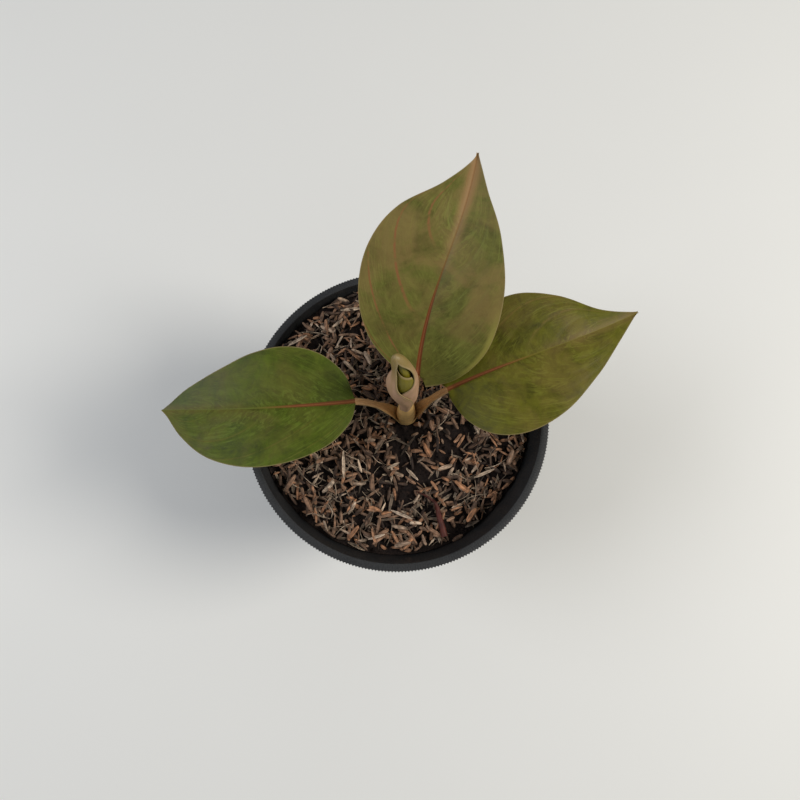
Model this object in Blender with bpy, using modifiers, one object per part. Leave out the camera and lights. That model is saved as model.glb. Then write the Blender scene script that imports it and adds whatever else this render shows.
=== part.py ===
"""Potted Chinese evergreen (Aglaonema) in a black nursery pot.

Metres, +Z up. The origin is the centre of the pot's underside, on the boss that the pot stands on.
The plant is drawn in its own frame, whose origin, the crown, is where its stem leaves the potting mix,
so the plant follows the mix's surface when the pot's height or the mix's depth changes.
"""

import math

import bmesh
import bpy
from mathutils import Vector
from mathutils.bvhtree import BVHTree
from mathutils.geometry import interpolate_bezier

# Clearance kept between pieces that touch.
GAP = 0.0003

# Pot.
POT_HEIGHT = 0.120
RIM_RADIUS = 0.075
BASE_RADIUS = 0.052
WALL = 0.0016
FLOOR_THICKNESS = 0.002
LIP_WIDTH = 0.004
LIP_THICKNESS = 0.002
COLLAR_HEIGHT = 0.018
COLLAR_WALL = 0.0012
COLLAR_DRAFT = 0.0004
EDGE_ROUND = 0.0005
FLOOR_FILLET = 0.003
FOOT_HEIGHT = 0.0025
FOOT_WIDTH = 0.004
BOSS_RADIUS = 0.014
DRAIN_COUNT = 6
DRAIN_RADIUS = 0.0045
NOTCH_WIDTH = 0.008
NOTCH_HEIGHT = 0.002
TURN_STEPS = 60

# Potting mix: how far its middle lies under the rim, and how uneven it is. Places on the mix are shares
# of the pot's inner radius at the rim.
MIX_DEPTH = 0.011
MIX_TILT = 0.006
MIX_HIGH_SIDE = math.radians(135)
HOLLOW_DEPTH = 0.0045
HOLLOW_PLACE = Vector((0.61, -0.61))
HOLLOW_SPREAD = 0.018
MIX_RINGS = (0.0, 0.2, 0.4, 0.6, 0.8, 0.93, 1.0)
TOP_MARK = 1.0

# Plant.
CROWN_X = 0.0045
CROWN_Y = 0.0
STEM_RADIUS = 0.0028
STEM_FOOT_RADIUS = 0.0036
STEM_DEPTH = 0.040
STEM_ABOVE = 0.004
SHEATH_RADIUS = 0.0023
PETIOLE_RADIUS = 0.0016
MIDRIB_END_RADIUS = 0.0004
SHEATH_START = 0.0013
BLADE_HANDLE = 0.012
PETIOLE_STEPS = 12
SHEATH_STEPS = 7
MIDRIB_STEPS = 10
MIDRIB_PROBE = 0.01
MIDRIB_THINNING = 0.7
RIB_SINK = 0.7
BLADE_THICKNESS = 0.0006
BLADE_FOLD = math.radians(12)
MARGIN_DROOP = 0.45
BLADE_STATIONS = 20
BLADE_HALF_STEPS = 5
STATION_EVENNESS = 0.45
TIP_HALF_WIDTH = 0.0005
TUBE_RESOLUTION = 2

# Each leaf, in the plant's frame: the side of the stem that its sheath stands on, two bends of the
# petiole from its foot, the blade's midrib as one cubic (start, two handles, tip), half-widths to the
# left and right of the midrib, at equal steps round a half circle drawn over the midrib, which brings
# them closer together towards the blade's base and tip, and how far its left and right lobes hang back.
LEAVES = {
    "leaf_left": {
        "side": math.radians(180),
        "bends": ((-0.0024, 0.0005, 0.0177), (-0.0091, 0.0008, 0.0317)),
        "midrib": ((-0.023, 0.0007, 0.041), (-0.056, -0.0045, 0.051),
                   (-0.080, -0.0038, 0.045), (-0.1115, -0.002, 0.034)),
        "left": (0.0, 0.010, 0.0195, 0.025, 0.0265, 0.0225, 0.013, 0.0030, 0.0),
        "right": (0.0, 0.013, 0.023, 0.027, 0.0245, 0.0172, 0.0098, 0.0028, 0.0),
        "lobes": (0.0, 0.0),
    },
    "leaf_back": {
        "side": math.radians(90),
        "bends": ((0.0016, 0.0016, 0.0167), (0.0046, 0.0036, 0.0327)),
        "midrib": ((0.0046, 0.0108, 0.0485), (0.0075, 0.0423, 0.072),
                   (0.0215, 0.0554, 0.086), (0.0281, 0.0927, 0.087)),
        "left": (0.0, 0.0120, 0.0245, 0.0315, 0.032, 0.0255, 0.0108, 0.0018, 0.0),
        "right": (0.0, 0.017, 0.027, 0.0293, 0.0264, 0.018, 0.0075, 0.0018, 0.0),
        "lobes": (0.001, 0.006),
    },
    "leaf_right": {
        "side": math.radians(2),
        "bends": ((0.0021, 0.0018, 0.0197), (0.0071, 0.0038, 0.0327)),
        "midrib": ((0.018, 0.0056, 0.043), (0.043, 0.016, 0.055),
                   (0.0695, 0.0218, 0.057), (0.1026, 0.0394, 0.049)),
        "left": (0.0, 0.012, 0.0215, 0.027, 0.0275, 0.0205, 0.0078, 0.0018, 0.0),
        "right": (0.0, 0.0155, 0.027, 0.0315, 0.0285, 0.019, 0.0085, 0.0018, 0.0),
        "lobes": (0.002, 0.001),
    },
}

# Rolled new leaf, in the plant's frame: the roll's foot and tip, its radius at equal steps between
# them, how far and from where it winds, and how much wider its outer layer is.
ROLL_FOOT = Vector((-0.0005, 0.0010, 0.028))
ROLL_TIP = Vector((-0.0046, 0.0090, 0.083))
ROLL_RADII = (0.0022, 0.0027, 0.0038, 0.0052, 0.0059, 0.0053, 0.0037, 0.0012)
ROLL_TURN = math.radians(430)
ROLL_START = math.radians(-70)
ROLL_LAYER_STEP = 0.0009
ROLL_STATIONS = 14
ROLL_STEPS = 20
BUD_FOOT_STEPS = 8
BUD_SWELL = 0.0006

# Fleshy roots: compass direction, reach and the depth of the far end under the crown.
ROOT_RADIUS = 0.0016
ROOT_TIP_RADIUS = 0.0009
ROOTS = ((20, 0.036, 0.070), (95, 0.034, 0.082), (165, 0.040, 0.066), (230, 0.034, 0.078),
         (305, 0.037, 0.074))
ROOT_STEPS = 10
ROOT_SIDES = 1

# Withered leaf stalk that lies on the mix: the place of its thick end, its route from there, its radius.
STALK_PLACE = Vector((0.33, -0.83))
STALK_ROUTE = ((0.0, 0.0), (-0.0022, 0.0085), (-0.0038, 0.0150), (-0.0069, 0.0185), (-0.0138, 0.0220))
STALK_RADII = (0.0016, 0.0013, 0.0009, 0.0005, 0.0003)
STALK_STEPS = 12

# Loose pieces on the mix: kind, place as shares, compass turn, length and width.
CHIP_THICKNESS = 0.0006
CHIP_ARCH = {"husk": 0.35, "sliver": 0.04}
CHIP_TAPER = 0.75
SLOPE_REACH = 0.004
CHIPS = (
    ("husk", -0.30, -0.80, 60, 0.0085, 0.0026), ("husk", 0.04, -0.88, 5, 0.0085, 0.0024),
    ("sliver", -0.14, -0.83, 20, 0.0090, 0.0018), ("husk", -0.61, -0.61, 130, 0.0080, 0.0026),
    ("husk", -0.73, -0.46, 70, 0.0080, 0.0024), ("husk", -0.48, -0.49, 35, 0.0085, 0.0026),
    ("husk", -0.12, -0.18, 45, 0.0085, 0.0024), ("husk", 0.21, -0.23, 120, 0.0080, 0.0024),
    ("sliver", -0.37, -0.34, 95, 0.0130, 0.0022), ("husk", -0.50, 0.64, 150, 0.0085, 0.0026),
    ("sliver", -0.70, 0.52, 40, 0.0110, 0.0020), ("husk", -0.49, 0.45, 80, 0.0080, 0.0024),
    ("sliver", -0.33, 0.77, 15, 0.0110, 0.0022), ("husk", 0.80, -0.28, 75, 0.0080, 0.0026),
    ("husk", 0.46, -0.48, 140, 0.0090, 0.0026), ("sliver", 0.62, -0.39, 25, 0.0110, 0.0020),
    ("husk", 0.52, -0.68, 50, 0.0080, 0.0026), ("husk", 0.34, -0.35, 10, 0.0080, 0.0024),
    ("husk", -0.17, -0.46, 100, 0.0085, 0.0026), ("sliver", 0.03, -0.68, 155, 0.0120, 0.0020),
    ("husk", -0.56, -0.11, 30, 0.0085, 0.0026), ("sliver", 0.63, 0.07, 110, 0.0120, 0.0022),
    ("husk", 0.35, 0.35, 65, 0.0085, 0.0024), ("husk", -0.21, 0.42, 125, 0.0080, 0.0026),
    ("husk", 0.07, 0.59, 20, 0.0085, 0.0024), ("sliver", 0.46, 0.63, 140, 0.0120, 0.0020),
    ("husk", -0.80, 0.17, 85, 0.0085, 0.0026),
)

# Name, colour (linear RGB), roughness.
MATERIALS = {
    "pot_plastic": ((0.011, 0.011, 0.012), 0.55),
    "rice_husk_mix": ((0.045, 0.026, 0.018), 0.95),
    "stem_skin": ((0.21, 0.13, 0.055), 0.5),
    "leaf_green": ((0.085, 0.095, 0.018), 0.4),
    "new_leaf_cream": ((0.24, 0.15, 0.08), 0.45),
    "root_flesh": ((0.55, 0.45, 0.30), 0.7),
    "withered_stalk": ((0.055, 0.014, 0.010), 0.7),
    "dry_husk": ((0.30, 0.19, 0.09), 0.85),
    "wood_sliver": ((0.22, 0.17, 0.11), 0.85),
}


def clear_scene():
    for item in list(bpy.data.objects):
        bpy.data.objects.remove(item, do_unlink=True)


def new_collection(name):
    collection = bpy.data.collections.new(name)
    bpy.context.scene.collection.children.link(collection)
    return collection


def make_materials():
    made = {}
    for name, (colour, roughness) in MATERIALS.items():
        material = bpy.data.materials.new(name)
        material.use_nodes = True
        shader = material.node_tree.nodes["Principled BSDF"]
        shader.inputs["Base Color"].default_value = (*colour, 1.0)
        shader.inputs["Roughness"].default_value = roughness
        shader.inputs["Metallic"].default_value = 0.0
        made[name] = material
    return made


def add_object(name, data, collection, material=None):
    item = bpy.data.objects.new(name, data)
    collection.objects.link(item)
    if material:
        data.materials.append(material)
    return item


def evaluated_mesh(item):
    """The object's mesh with its modifiers or bevel applied, in its own frame, with its doubles merged."""
    bpy.context.view_layer.update()
    source = item.evaluated_get(bpy.context.evaluated_depsgraph_get())
    mesh = bpy.data.meshes.new_from_object(source)
    work = bmesh.new()
    work.from_mesh(mesh)
    bmesh.ops.remove_doubles(work, verts=work.verts, dist=0.000005)
    work.to_mesh(mesh)
    work.free()
    return mesh


def bake(item):
    """The object with its modifiers applied, as a new mesh object of the same name and place."""
    mesh = evaluated_mesh(item)
    name = item.name
    collection = item.users_collection[0]
    place = item.matrix_world.copy()
    materials = [slot.material for slot in item.material_slots]
    bpy.data.objects.remove(item, do_unlink=True)
    mesh.materials.clear()
    solid = add_object(name, mesh, collection)
    for material in materials:
        mesh.materials.append(material)
    solid.matrix_world = place
    return solid


def boolean(item, other, operation):
    modifier = item.modifiers.new(f"{operation.lower()}_{other.name}", "BOOLEAN")
    modifier.operation = operation
    modifier.object = other
    modifier.solver = "EXACT"


def smooth(item, angle=35):
    item.data.shade_smooth()
    item.data.set_sharp_from_angle(angle=math.radians(angle))


def turned(name, profile, collection, material=None, steps=TURN_STEPS):
    """A turned solid from (radius, height) points that run down its outer side."""
    mesh = bpy.data.meshes.new(name)
    points = [(radius, 0.0, height) for radius, height in profile]
    edges = [(index, index + 1) for index in range(len(points) - 1)]
    mesh.from_pydata(points, edges, [])
    item = add_object(name, mesh, collection, material)
    screw = item.modifiers.new("turn", "SCREW")
    screw.axis = "Z"
    screw.steps = steps
    screw.render_steps = steps
    screw.use_merge_vertices = True
    screw.merge_threshold = 0.00001
    return bake(item)


def tube(name, points, radii, collection, material=None, resolution=TUBE_RESOLUTION):
    """A round tapering rod along the points, with filled ends, as a mesh."""
    curve = bpy.data.curves.new(name, "CURVE")
    curve.dimensions = "3D"
    curve.bevel_depth = 1.0
    curve.bevel_resolution = resolution
    curve.use_fill_caps = True
    spline = curve.splines.new("POLY")
    spline.points.add(len(points) - 1)
    for node, point, radius in zip(spline.points, points, radii):
        node.co = (*point, 1.0)
        node.radius = radius
    return bake(add_object(name, curve, collection, material))


def follow(values, share):
    """A smooth reading of equally spaced numbers or vectors at a share of their run."""
    last = len(values) - 1
    index = max(0, min(int(share * last), last - 1))
    local = share * last - index
    before = values[max(index - 1, 0)]
    start = values[index]
    end = values[index + 1]
    after = values[min(index + 2, last)]
    slope_in = (end - before) * 0.5
    slope_out = (after - start) * 0.5
    square = local * local
    cube = square * local
    return (start * (2 * cube - 3 * square + 1) + slope_in * (cube - 2 * square + local)
            + end * (3 * square - 2 * cube) + slope_out * (cube - square))


def polar(radius, angle, height=0.0):
    return Vector((radius * math.cos(angle), radius * math.sin(angle), height))


# Pot ------------------------------------------------------------------------------------------------

def floor_top():
    return FOOT_HEIGHT + FLOOR_THICKNESS


def outer_radius(height):
    """Radius of the pot's outer wall, which widens evenly from its base to its lip."""
    under_lip = RIM_RADIUS - LIP_WIDTH + WALL
    return BASE_RADIUS + (under_lip - BASE_RADIUS) * height / POT_HEIGHT


def inner_radius(height):
    return outer_radius(height) - WALL


def pot_profile():
    floor = floor_top()
    collar_foot = POT_HEIGHT - COLLAR_HEIGHT
    lip_under = POT_HEIGHT - LIP_THICKNESS
    corner = inner_radius(floor + FLOOR_FILLET)
    fillet = [(corner - FLOOR_FILLET * (1 - math.sin(turn)), floor + FLOOR_FILLET * (1 - math.cos(turn)))
              for turn in (0.0, math.radians(45), math.radians(90))]
    return [
        (0.0, floor),
        *fillet,
        (inner_radius(POT_HEIGHT - EDGE_ROUND), POT_HEIGHT - EDGE_ROUND),
        (inner_radius(POT_HEIGHT) + EDGE_ROUND, POT_HEIGHT),
        (RIM_RADIUS - EDGE_ROUND, POT_HEIGHT),
        (RIM_RADIUS, POT_HEIGHT - EDGE_ROUND),
        (RIM_RADIUS - COLLAR_DRAFT, collar_foot),
        (RIM_RADIUS - COLLAR_DRAFT - COLLAR_WALL, collar_foot),
        (RIM_RADIUS - COLLAR_WALL, lip_under),
        (outer_radius(lip_under), lip_under),
        (outer_radius(EDGE_ROUND), EDGE_ROUND),
        (BASE_RADIUS - EDGE_ROUND, 0.0),
        (BASE_RADIUS - FOOT_WIDTH, 0.0),
        (BASE_RADIUS - FOOT_WIDTH - EDGE_ROUND, FOOT_HEIGHT),
        (BOSS_RADIUS + EDGE_ROUND, FOOT_HEIGHT),
        (BOSS_RADIUS, 0.0),
        (0.0, 0.0),
    ]


def drain_ring_radius():
    """The drain holes lie midway between the boss and the foot ring."""
    return (BOSS_RADIUS + BASE_RADIUS - FOOT_WIDTH) / 2


def make_pot(collection, cutters, material):
    pot = turned("pot", pot_profile(), collection, material)
    for index in range(DRAIN_COUNT):
        angle = 2 * math.pi * index / DRAIN_COUNT
        bpy.ops.mesh.primitive_cylinder_add(vertices=20, radius=DRAIN_RADIUS, depth=4 * floor_top(),
                                            location=polar(drain_ring_radius(), angle))
        boolean(pot, as_cutter(f"drain_cutter_{index + 1}", cutters), "DIFFERENCE")
        notch_angle = angle + math.pi / DRAIN_COUNT
        bpy.ops.mesh.primitive_cube_add(size=1, rotation=(0, 0, notch_angle),
                                        location=polar(BASE_RADIUS - FOOT_WIDTH / 2, notch_angle),
                                        scale=(3 * FOOT_WIDTH, NOTCH_WIDTH, 2 * NOTCH_HEIGHT))
        boolean(pot, as_cutter(f"notch_cutter_{index + 1}", cutters), "DIFFERENCE")
    smooth(pot)
    return pot


def as_cutter(name, cutters):
    """Names the active primitive as a cutter and moves it to the cutters' collection."""
    item = bpy.context.active_object
    item.name = name
    for collection in list(item.users_collection):
        collection.objects.unlink(item)
    cutters.objects.link(item)
    hide_cutter(item)
    return item


def hide_cutter(item):
    item.hide_render = True
    item.display_type = "WIRE"


# Potting mix ----------------------------------------------------------------------------------------

def mix_height(x, y):
    """Height of the mix's surface: tilted, with a hollow at the front right."""
    spread = inner_radius(POT_HEIGHT)
    tilt = MIX_TILT * (x * math.cos(MIX_HIGH_SIDE) + y * math.sin(MIX_HIGH_SIDE)) / spread
    away = (Vector((x, y)) - HOLLOW_PLACE * spread).length / HOLLOW_SPREAD
    return POT_HEIGHT - MIX_DEPTH + tilt - HOLLOW_DEPTH * math.exp(-away * away)


def make_mix(collection, material):
    """The mix fills the pot. Its top is turned as rings of shares at TOP_MARK, then laid on the surface."""
    bottom = floor_top() + GAP
    chamfer = FLOOR_FILLET + GAP
    edge = inner_radius(bottom + chamfer) - GAP
    top_profile = [(share, TOP_MARK) for share in MIX_RINGS]
    side_profile = [(edge, bottom + chamfer), (edge - chamfer, bottom), (0.0, bottom)]
    mix = turned("potting_mix", top_profile + side_profile, collection, material)
    for vertex in mix.data.vertices:
        if vertex.co.z > TOP_MARK / 2:
            angle = math.atan2(vertex.co.y, vertex.co.x)
            vertex.co = mix_point(vertex.co.xy.length, angle)
    return mix


def mix_point(share, angle):
    """A point of the mix's surface at a share of the way to the pot's wall, which leans outwards."""
    radius = share * (inner_radius(POT_HEIGHT - MIX_DEPTH) - GAP)
    for _ in range(4):
        place = polar(radius, angle)
        height = mix_height(place.x, place.y)
        radius = share * (inner_radius(height) - GAP)
    return polar(radius, angle, height)


def crown():
    return Vector((CROWN_X, CROWN_Y, mix_height(CROWN_X, CROWN_Y)))


# Stem and roots -------------------------------------------------------------------------------------

def stem_profile(grow):
    """The buried cane, its rounded foot and its top; grow widens it, as the hole that it stands in."""
    radius = STEM_RADIUS + grow
    foot = STEM_FOOT_RADIUS + grow
    return [
        (0.0, STEM_ABOVE),
        (radius, STEM_ABOVE),
        (radius, 0.0),
        (foot, -STEM_DEPTH * 0.7),
        (foot, -STEM_DEPTH + foot * 0.5 - grow),
        (foot * 0.5, -STEM_DEPTH - grow),
        (0.0, -STEM_DEPTH - grow),
    ]


def root_route(compass, reach, depth):
    """A root leaves the cane's foot sideways, then bends down."""
    angle = math.radians(compass)
    start = polar(STEM_FOOT_RADIUS + 2 * GAP, angle, -STEM_DEPTH * 0.86)
    out = start + polar(reach * 0.6, angle + math.radians(14), -0.004)
    down = start + polar(reach * 0.9, angle, -(depth - STEM_DEPTH) * 0.4)
    end = polar(reach, angle, -depth)
    return [point + crown() for point in interpolate_bezier(start, out, down, end, ROOT_STEPS)]


def make_stem(collection, material):
    stem = turned("stem", stem_profile(0.0), collection, material, steps=16)
    stem.location = crown()
    smooth(stem)
    return stem


def make_roots(collection, cutters, mix, material):
    """The roots, and the channels in the mix that hold them and the cane."""
    hole = turned("stem_hole_cutter", stem_profile(GAP), cutters, steps=16)
    hole.location = crown()
    hide_cutter(hole)
    boolean(mix, hole, "DIFFERENCE")
    for index, (compass, reach, depth) in enumerate(ROOTS, start=1):
        route = root_route(compass, reach, depth)
        radii = [ROOT_RADIUS + (ROOT_TIP_RADIUS - ROOT_RADIUS) * step / (ROOT_STEPS - 1)
                 for step in range(ROOT_STEPS)]
        root = tube(f"root_{index}", route, radii, collection, material, resolution=ROOT_SIDES)
        smooth(root, 60)
        inward = (route[0] - route[1]).normalized()
        outward = (route[-1] - route[-2]).normalized()
        channel_route = [route[0] + inward * 3 * GAP, *route[1:-1], route[-1] + outward * 2 * GAP]
        channel_radii = [radius + 1.5 * GAP for radius in radii]
        channel = tube(f"root_channel_{index}", channel_route, channel_radii, cutters,
                       resolution=ROOT_SIDES)
        hide_cutter(channel)
        boolean(mix, channel, "DIFFERENCE")


# Leaves ---------------------------------------------------------------------------------------------

def station(share):
    """Rows of the blade lie a little closer together towards its base and tip."""
    return STATION_EVENNESS * share + (1 - STATION_EVENNESS) * (1 - math.cos(math.pi * share)) / 2


def half_width(leaf, side, u):
    """The half-widths are listed at equal turns of a half circle whose diameter is the midrib."""
    width = follow(leaf[side], math.acos(max(-1.0, 1 - 2 * u)) / math.pi)
    return max(width, PETIOLE_RADIUS if u < 0.5 else TIP_HALF_WIDTH)


def midrib_point(leaf, u):
    start, first, second, end = (Vector(point) for point in leaf["midrib"])
    back = 1 - u
    return (start * back ** 3 + first * (3 * back * back * u) + second * (3 * back * u * u) + end * u ** 3)


def blade_frame(leaf, u):
    """Place on the midrib, its direction, the level direction to its left, and the blade's up."""
    ahead = midrib_point(leaf, min(u + MIDRIB_PROBE, 1.0))
    behind = midrib_point(leaf, max(u - MIDRIB_PROBE, 0.0))
    forward = (ahead - behind).normalized()
    left = Vector((0, 0, 1)).cross(forward).normalized()
    return midrib_point(leaf, u), forward, left, forward.cross(left)


def blade_point(leaf, share, across):
    """A point of the blade: across runs from -1 at the right margin to 1 at the left one."""
    u = station(share)
    place, forward, left, up = blade_frame(leaf, u)
    side = 1 if across > 0 else -1
    distance = abs(across) * half_width(leaf, "left" if across > 0 else "right", u)
    hang = leaf["lobes"][0 if across > 0 else 1] * across * across * (1 - u) ** 8
    rise = math.sin(BLADE_FOLD) * distance * (1 - MARGIN_DROOP * abs(across))
    return place + left * (side * distance * math.cos(BLADE_FOLD)) + up * rise - forward * hang


def make_blade(name, leaf, collection, material):
    bpy.ops.mesh.primitive_grid_add(x_subdivisions=BLADE_STATIONS, y_subdivisions=2 * BLADE_HALF_STEPS,
                                    size=2, location=(0, 0, 0))
    grid = bpy.context.active_object.data
    bpy.data.objects.remove(bpy.context.active_object)
    for vertex in grid.vertices:
        vertex.co = blade_point(leaf, (vertex.co.x + 1) / 2, vertex.co.y)
    blade = add_object(name, grid, collection, material)
    solid = blade.modifiers.new("thickness", "SOLIDIFY")
    solid.thickness = BLADE_THICKNESS
    solid.offset = 0.0
    return bake(blade)


def make_leaf(name, leaf, collection, cutters, material):
    """Sheath, petiole and blade in one: a rod runs from the crown along the blade's underside."""
    blade = make_blade(name, leaf, collection, material)
    blade.location = crown()
    foot = polar(STEM_RADIUS + GAP + SHEATH_RADIUS, leaf["side"], SHEATH_START)
    middle, upper = (foot + Vector(bend) for bend in leaf["bends"])
    base, forward, _, up = blade_frame(leaf, 0.0)
    handle = base - forward * BLADE_HANDLE
    join = base - up * PETIOLE_RADIUS * RIB_SINK
    route = interpolate_bezier(foot, middle, upper.lerp(handle, 0.5), join, PETIOLE_STEPS)
    shares = [min(1.0, step / SHEATH_STEPS) for step in range(PETIOLE_STEPS)]
    radii = [SHEATH_RADIUS + (PETIOLE_RADIUS - SHEATH_RADIUS) * share for share in shares]
    for step in range(1, MIDRIB_STEPS):
        u = step / MIDRIB_STEPS
        place, _, _, up = blade_frame(leaf, u)
        radius = PETIOLE_RADIUS + (MIDRIB_END_RADIUS - PETIOLE_RADIUS) * u ** MIDRIB_THINNING
        route.append(place - up * radius * RIB_SINK)
        radii.append(radius)
    rod = tube(f"{name}_rod", route, radii, cutters)
    rod.location = crown()
    hide_cutter(rod)
    boolean(blade, rod, "UNION")
    smooth(blade, 50)
    return blade


def roll_point(share, turn_share):
    """A point of the rolled blade: it winds about its axis, each layer outside the last."""
    radius = follow(ROLL_RADII, share) + ROLL_LAYER_STEP * turn_share
    angle = ROLL_START + ROLL_TURN * turn_share
    axis = (ROLL_TIP - ROLL_FOOT).normalized()
    left = axis.cross(Vector((0, 1, 0))).normalized()
    back = axis.cross(left)
    return ROLL_FOOT.lerp(ROLL_TIP, share) + left * radius * math.cos(angle) + back * radius * math.sin(angle)


def make_new_leaf(collection, cutters, material):
    bpy.ops.mesh.primitive_grid_add(x_subdivisions=ROLL_STATIONS, y_subdivisions=ROLL_STEPS, size=2)
    grid = bpy.context.active_object.data
    bpy.data.objects.remove(bpy.context.active_object)
    for vertex in grid.vertices:
        vertex.co = roll_point((vertex.co.x + 1) / 2, (vertex.co.y + 1) / 2)
    roll = add_object("new_leaf", grid, collection, material)
    solid = roll.modifiers.new("thickness", "SOLIDIFY")
    solid.thickness = BLADE_THICKNESS
    solid.offset = 0.0
    roll = bake(roll)
    roll.location = crown()
    foot = Vector((0, 0, STEM_ABOVE + GAP))
    rise = foot.lerp(ROLL_FOOT, 0.4)
    lean = ROLL_FOOT.lerp(ROLL_TIP, -0.2)
    route = interpolate_bezier(foot, rise, lean, ROLL_FOOT.lerp(ROLL_TIP, 0.12), BUD_FOOT_STEPS)
    radii = [SHEATH_RADIUS + BUD_SWELL * step / (BUD_FOOT_STEPS - 1) for step in range(BUD_FOOT_STEPS)]
    rod = tube("new_leaf_rod", route, radii, cutters)
    rod.location = crown()
    hide_cutter(rod)
    boolean(roll, rod, "UNION")
    smooth(roll, 50)
    return roll


# Loose pieces on the mix ----------------------------------------------------------------------------

def settle(item, surface):
    """Lifts or lowers a piece until its lowest approach to the surface is the clearance."""
    bpy.context.view_layer.update()
    down = Vector((0, 0, -1))
    lifts = []
    for vertex in item.data.vertices:
        point = item.matrix_world @ vertex.co
        ground = surface.ray_cast(Vector((point.x, point.y, 2 * POT_HEIGHT)), down)[0]
        lifts.append(ground.z - point.z)
    item.location.z += max(lifts) + GAP


def make_chip(name, kind, place, turn, length, width, collection, material):
    """A husk is a boat-shaped shell, and a sliver is a flat split of wood with pointed ends."""
    bpy.ops.mesh.primitive_grid_add(x_subdivisions=4, y_subdivisions=2, size=2)
    grid = bpy.context.active_object.data
    bpy.data.objects.remove(bpy.context.active_object)
    arch = width * CHIP_ARCH[kind]
    for vertex in grid.vertices:
        along = vertex.co.x
        across = vertex.co.y
        taper = 1 - CHIP_TAPER * along * along
        height = arch * taper * (1 - across * across)
        vertex.co = Vector((along * length / 2, across * width / 2 * taper, height))
    chip = add_object(name, grid, collection, material)
    solid = chip.modifiers.new("thickness", "SOLIDIFY")
    solid.thickness = CHIP_THICKNESS
    solid.offset = 1.0
    chip = bake(chip)
    x, y = place
    slope = Vector((mix_height(x - SLOPE_REACH, y) - mix_height(x + SLOPE_REACH, y),
                    mix_height(x, y - SLOPE_REACH) - mix_height(x, y + SLOPE_REACH), 2 * SLOPE_REACH))
    lie = Vector((0, 0, 1)).rotation_difference(slope.normalized())
    chip.rotation_mode = "QUATERNION"
    chip.rotation_quaternion = lie @ Vector((1, 0, 0)).rotation_difference(polar(1, math.radians(turn)))
    chip.location = (x, y, mix_height(x, y))
    return chip


def make_loose_pieces(collection, mix, materials):
    surface = BVHTree.FromObject(mix, bpy.context.evaluated_depsgraph_get())
    for index, (kind, x, y, turn, length, width) in enumerate(CHIPS, start=1):
        finish = materials["dry_husk" if kind == "husk" else "wood_sliver"]
        place = Vector((x, y)) * inner_radius(POT_HEIGHT)
        chip = make_chip(f"{kind}_{index}", kind, place, turn, length, width, collection, finish)
        settle(chip, surface)
    foot = STALK_PLACE * inner_radius(POT_HEIGHT)
    places = [foot + Vector(step) for step in STALK_ROUTE]
    corners = [Vector((*place, mix_height(*place) + radius)) for place, radius in zip(places, STALK_RADII)]
    shares = [step / STALK_STEPS for step in range(STALK_STEPS + 1)]
    route = [follow(corners, share) for share in shares]
    radii = [follow(STALK_RADII, share) for share in shares]
    stalk = tube("fallen_leaf_stalk", route, radii, collection, materials["withered_stalk"],
                 resolution=1)
    smooth(stalk, 60)
    settle(stalk, surface)


def main():
    clear_scene()
    plant = new_collection("potted_chinese_evergreen")
    cutters = new_collection("cutters")
    materials = make_materials()
    make_pot(plant, cutters, materials["pot_plastic"])
    mix = make_mix(plant, materials["rice_husk_mix"])
    make_stem(plant, materials["stem_skin"])
    for name, leaf in LEAVES.items():
        make_leaf(name, leaf, plant, cutters, materials["leaf_green"])
    make_new_leaf(plant, cutters, materials["new_leaf_cream"])
    make_loose_pieces(plant, mix, materials)
    make_roots(plant, cutters, mix, materials["root_flesh"])


main()
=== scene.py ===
import math
import random
from collections import namedtuple

import bpy
from mathutils import Matrix, Vector, noise
from mathutils.geometry import interpolate_bezier


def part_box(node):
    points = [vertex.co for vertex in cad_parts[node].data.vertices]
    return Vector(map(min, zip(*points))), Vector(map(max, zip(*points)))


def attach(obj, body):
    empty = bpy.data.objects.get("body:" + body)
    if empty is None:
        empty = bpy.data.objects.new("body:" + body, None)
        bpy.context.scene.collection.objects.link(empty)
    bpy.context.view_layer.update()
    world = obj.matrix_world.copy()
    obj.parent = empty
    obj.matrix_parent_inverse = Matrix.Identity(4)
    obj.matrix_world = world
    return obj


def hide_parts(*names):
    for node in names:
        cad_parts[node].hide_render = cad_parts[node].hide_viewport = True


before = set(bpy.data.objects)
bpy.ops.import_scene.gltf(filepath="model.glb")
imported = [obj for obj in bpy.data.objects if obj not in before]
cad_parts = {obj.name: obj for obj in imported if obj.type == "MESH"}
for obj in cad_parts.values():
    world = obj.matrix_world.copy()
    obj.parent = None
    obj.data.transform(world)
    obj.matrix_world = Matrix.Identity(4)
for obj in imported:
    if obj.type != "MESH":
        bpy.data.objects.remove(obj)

bl_info = {
    "name": "Potted Chinese Evergreen",
    "version": (1, 0, 0),
    "blender": (4, 5, 0),
    "location": "View3D > Sidebar > Evergreen",
    "description": "Builds a young potted Chinese evergreen in a black nursery pot",
    "category": "Add Mesh",
}

MM = 0.001
BODY = "root"
POT_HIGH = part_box("pot")[1]
POT_HEIGHT = POT_HIGH.z
RIM_RADIUS = POT_HIGH.x
GAP = 0.3 * MM


def linear(code):
    """Scene-linear colour of an sRGB hex code."""
    levels = [int(code[start:start + 2], 16) / 255 for start in (0, 2, 4)]
    return tuple(level / 12.92 if level <= 0.04045 else ((level + 0.055) / 1.055) ** 2.4
                 for level in levels)


def length(name, description, default):
    return bpy.props.FloatProperty(name=name, description=description, default=default, unit="LENGTH",
                                   subtype="DISTANCE", min=0.0, precision=5)


def colour(name, description, code):
    return bpy.props.FloatVectorProperty(name=name, description=description, default=linear(code),
                                         subtype="COLOR", size=3, min=0.0, max=1.0)


def number(name, description, default):
    return bpy.props.FloatProperty(name=name, description=description, default=default, min=0.0)


def count(name, description, default):
    return bpy.props.IntProperty(name=name, description=description, default=default, min=1)


# Settings -------------------------------------------------------------------------------------------

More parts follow.
